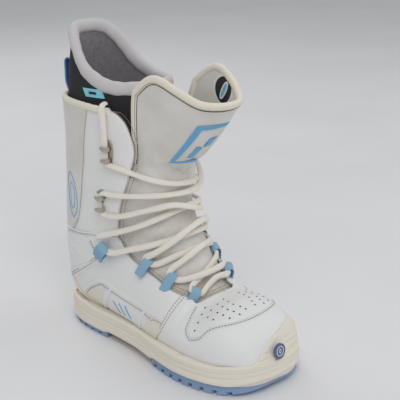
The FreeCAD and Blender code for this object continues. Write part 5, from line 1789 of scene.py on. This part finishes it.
# ---------------------------------------------------------------- studio
@dataclass
class Studio:
    """Pale floor, soft lights and the camera."""

    azimuth: float = -45.35
    elevation: float = 18.50
    distance: float = 0.950
    roll: float = 0.0114
    lens: float = 83.78
    target: tuple = (0.03225, -0.0091, 0.15108)

    def camera(self) -> None:
        """Camera whose axes come from its azimuth, elevation and roll."""
        a, e = math.radians(self.azimuth), math.radians(self.elevation)
        back = np.array([math.sin(a) * math.cos(e), -math.cos(a) * math.cos(e), math.sin(e)])
        right = np.array([math.cos(a), math.sin(a), 0.0])
        up = np.cross(back, right)
        turned = math.cos(self.roll) * right - math.sin(self.roll) * up
        raised = math.sin(self.roll) * right + math.cos(self.roll) * up
        matrix = np.eye(4)
        matrix[:3, :3] = np.stack([turned, raised, back], 1)
        matrix[:3, 3] = np.array(self.target) + back * self.distance
        data = bpy.data.cameras.new("camera")
        data.lens, data.sensor_width = self.lens, 36.0
        data.clip_start, data.clip_end = 0.01, 50.0
        obj = bpy.data.objects.new("camera", data)
        obj.matrix_world = Matrix(matrix.tolist())
        bpy.context.scene.collection.objects.link(obj)
        bpy.context.scene.camera = obj

    def light(
        self, name: str, place: tuple, size: float, power: float, aim: tuple = (0.0, 0.0, 0.14)
    ) -> None:
        """Square area light that faces a point."""
        data = bpy.data.lights.new(name, "AREA")
        data.size, data.energy = size, power
        obj = bpy.data.objects.new(name, data)
        back = unit(np.array(place) - np.array(aim))
        right = unit(np.cross([0.0, 0.0, 1.0], back))
        matrix = np.eye(4)
        matrix[:3, :3] = np.stack([right, np.cross(back, right), back], 1)
        matrix[:3, 3] = place
        obj.matrix_world = Matrix(matrix.tolist())
        bpy.context.scene.collection.objects.link(obj)

    def floor(self) -> None:
        """Large pale disc, matt, with the faintest mottling."""
        angle = np.linspace(0, 2 * math.pi, 64, endpoint=False)
        points = np.stack([6 * np.cos(angle), 6 * np.sin(angle), np.full(64, -0.0004)], -1)
        mesh = bpy.data.meshes.new("floor")
        mesh.from_pydata(points.tolist(), [], [list(range(64))])
        g = Graph("floor_paper")
        tone = g.mix(g.span(g.noise(3.0), 0.3, 0.7), (0.80, 0.80, 0.81), (0.84, 0.84, 0.85))
        mesh.materials.append(g.finish(tone, 0.75))
        obj = bpy.data.objects.new("floor", mesh)
        bpy.context.scene.collection.objects.link(obj)

    def make(self) -> None:
        """The whole studio."""
        self.camera()
        self.floor()
        self.light("key", (-0.9, -1.1, 1.7), 1.2, 14.0)
        self.light("fill", (1.6, -0.9, 1.1), 1.6, 6.5)
        self.light("rim", (0.3, 1.6, 1.5), 1.4, 8.0)
        world = bpy.data.worlds.new("studio")
        world.use_nodes = True
        world.node_tree.nodes["Background"].inputs[0].default_value = (0.90, 0.91, 0.93, 1.0)
        world.node_tree.nodes["Background"].inputs[1].default_value = 0.47
        bpy.context.scene.world = world
        bpy.context.scene.view_settings.view_transform = "Standard"


def main() -> None:
    """Build the boot from the sole up, then the studio."""
    logging.basicConfig(level=logging.INFO, format="%(name)s %(message)s")
    hooks = [
        Hook(half, level, y, z, reach)
        for half in Half
        for level, y, z, reach in (("lower", 51.0, 156.0, 48.8), ("upper", 41.0, 208.0, 47.4))
    ]
    for part in (Sole(), Upper(), Tongue(), Liner(), Laces(), *hooks, PullLoop(), Studio()):
        part.make()
        log.info("%s is done", type(part).__name__)


if __name__ == "__main__":
    main()
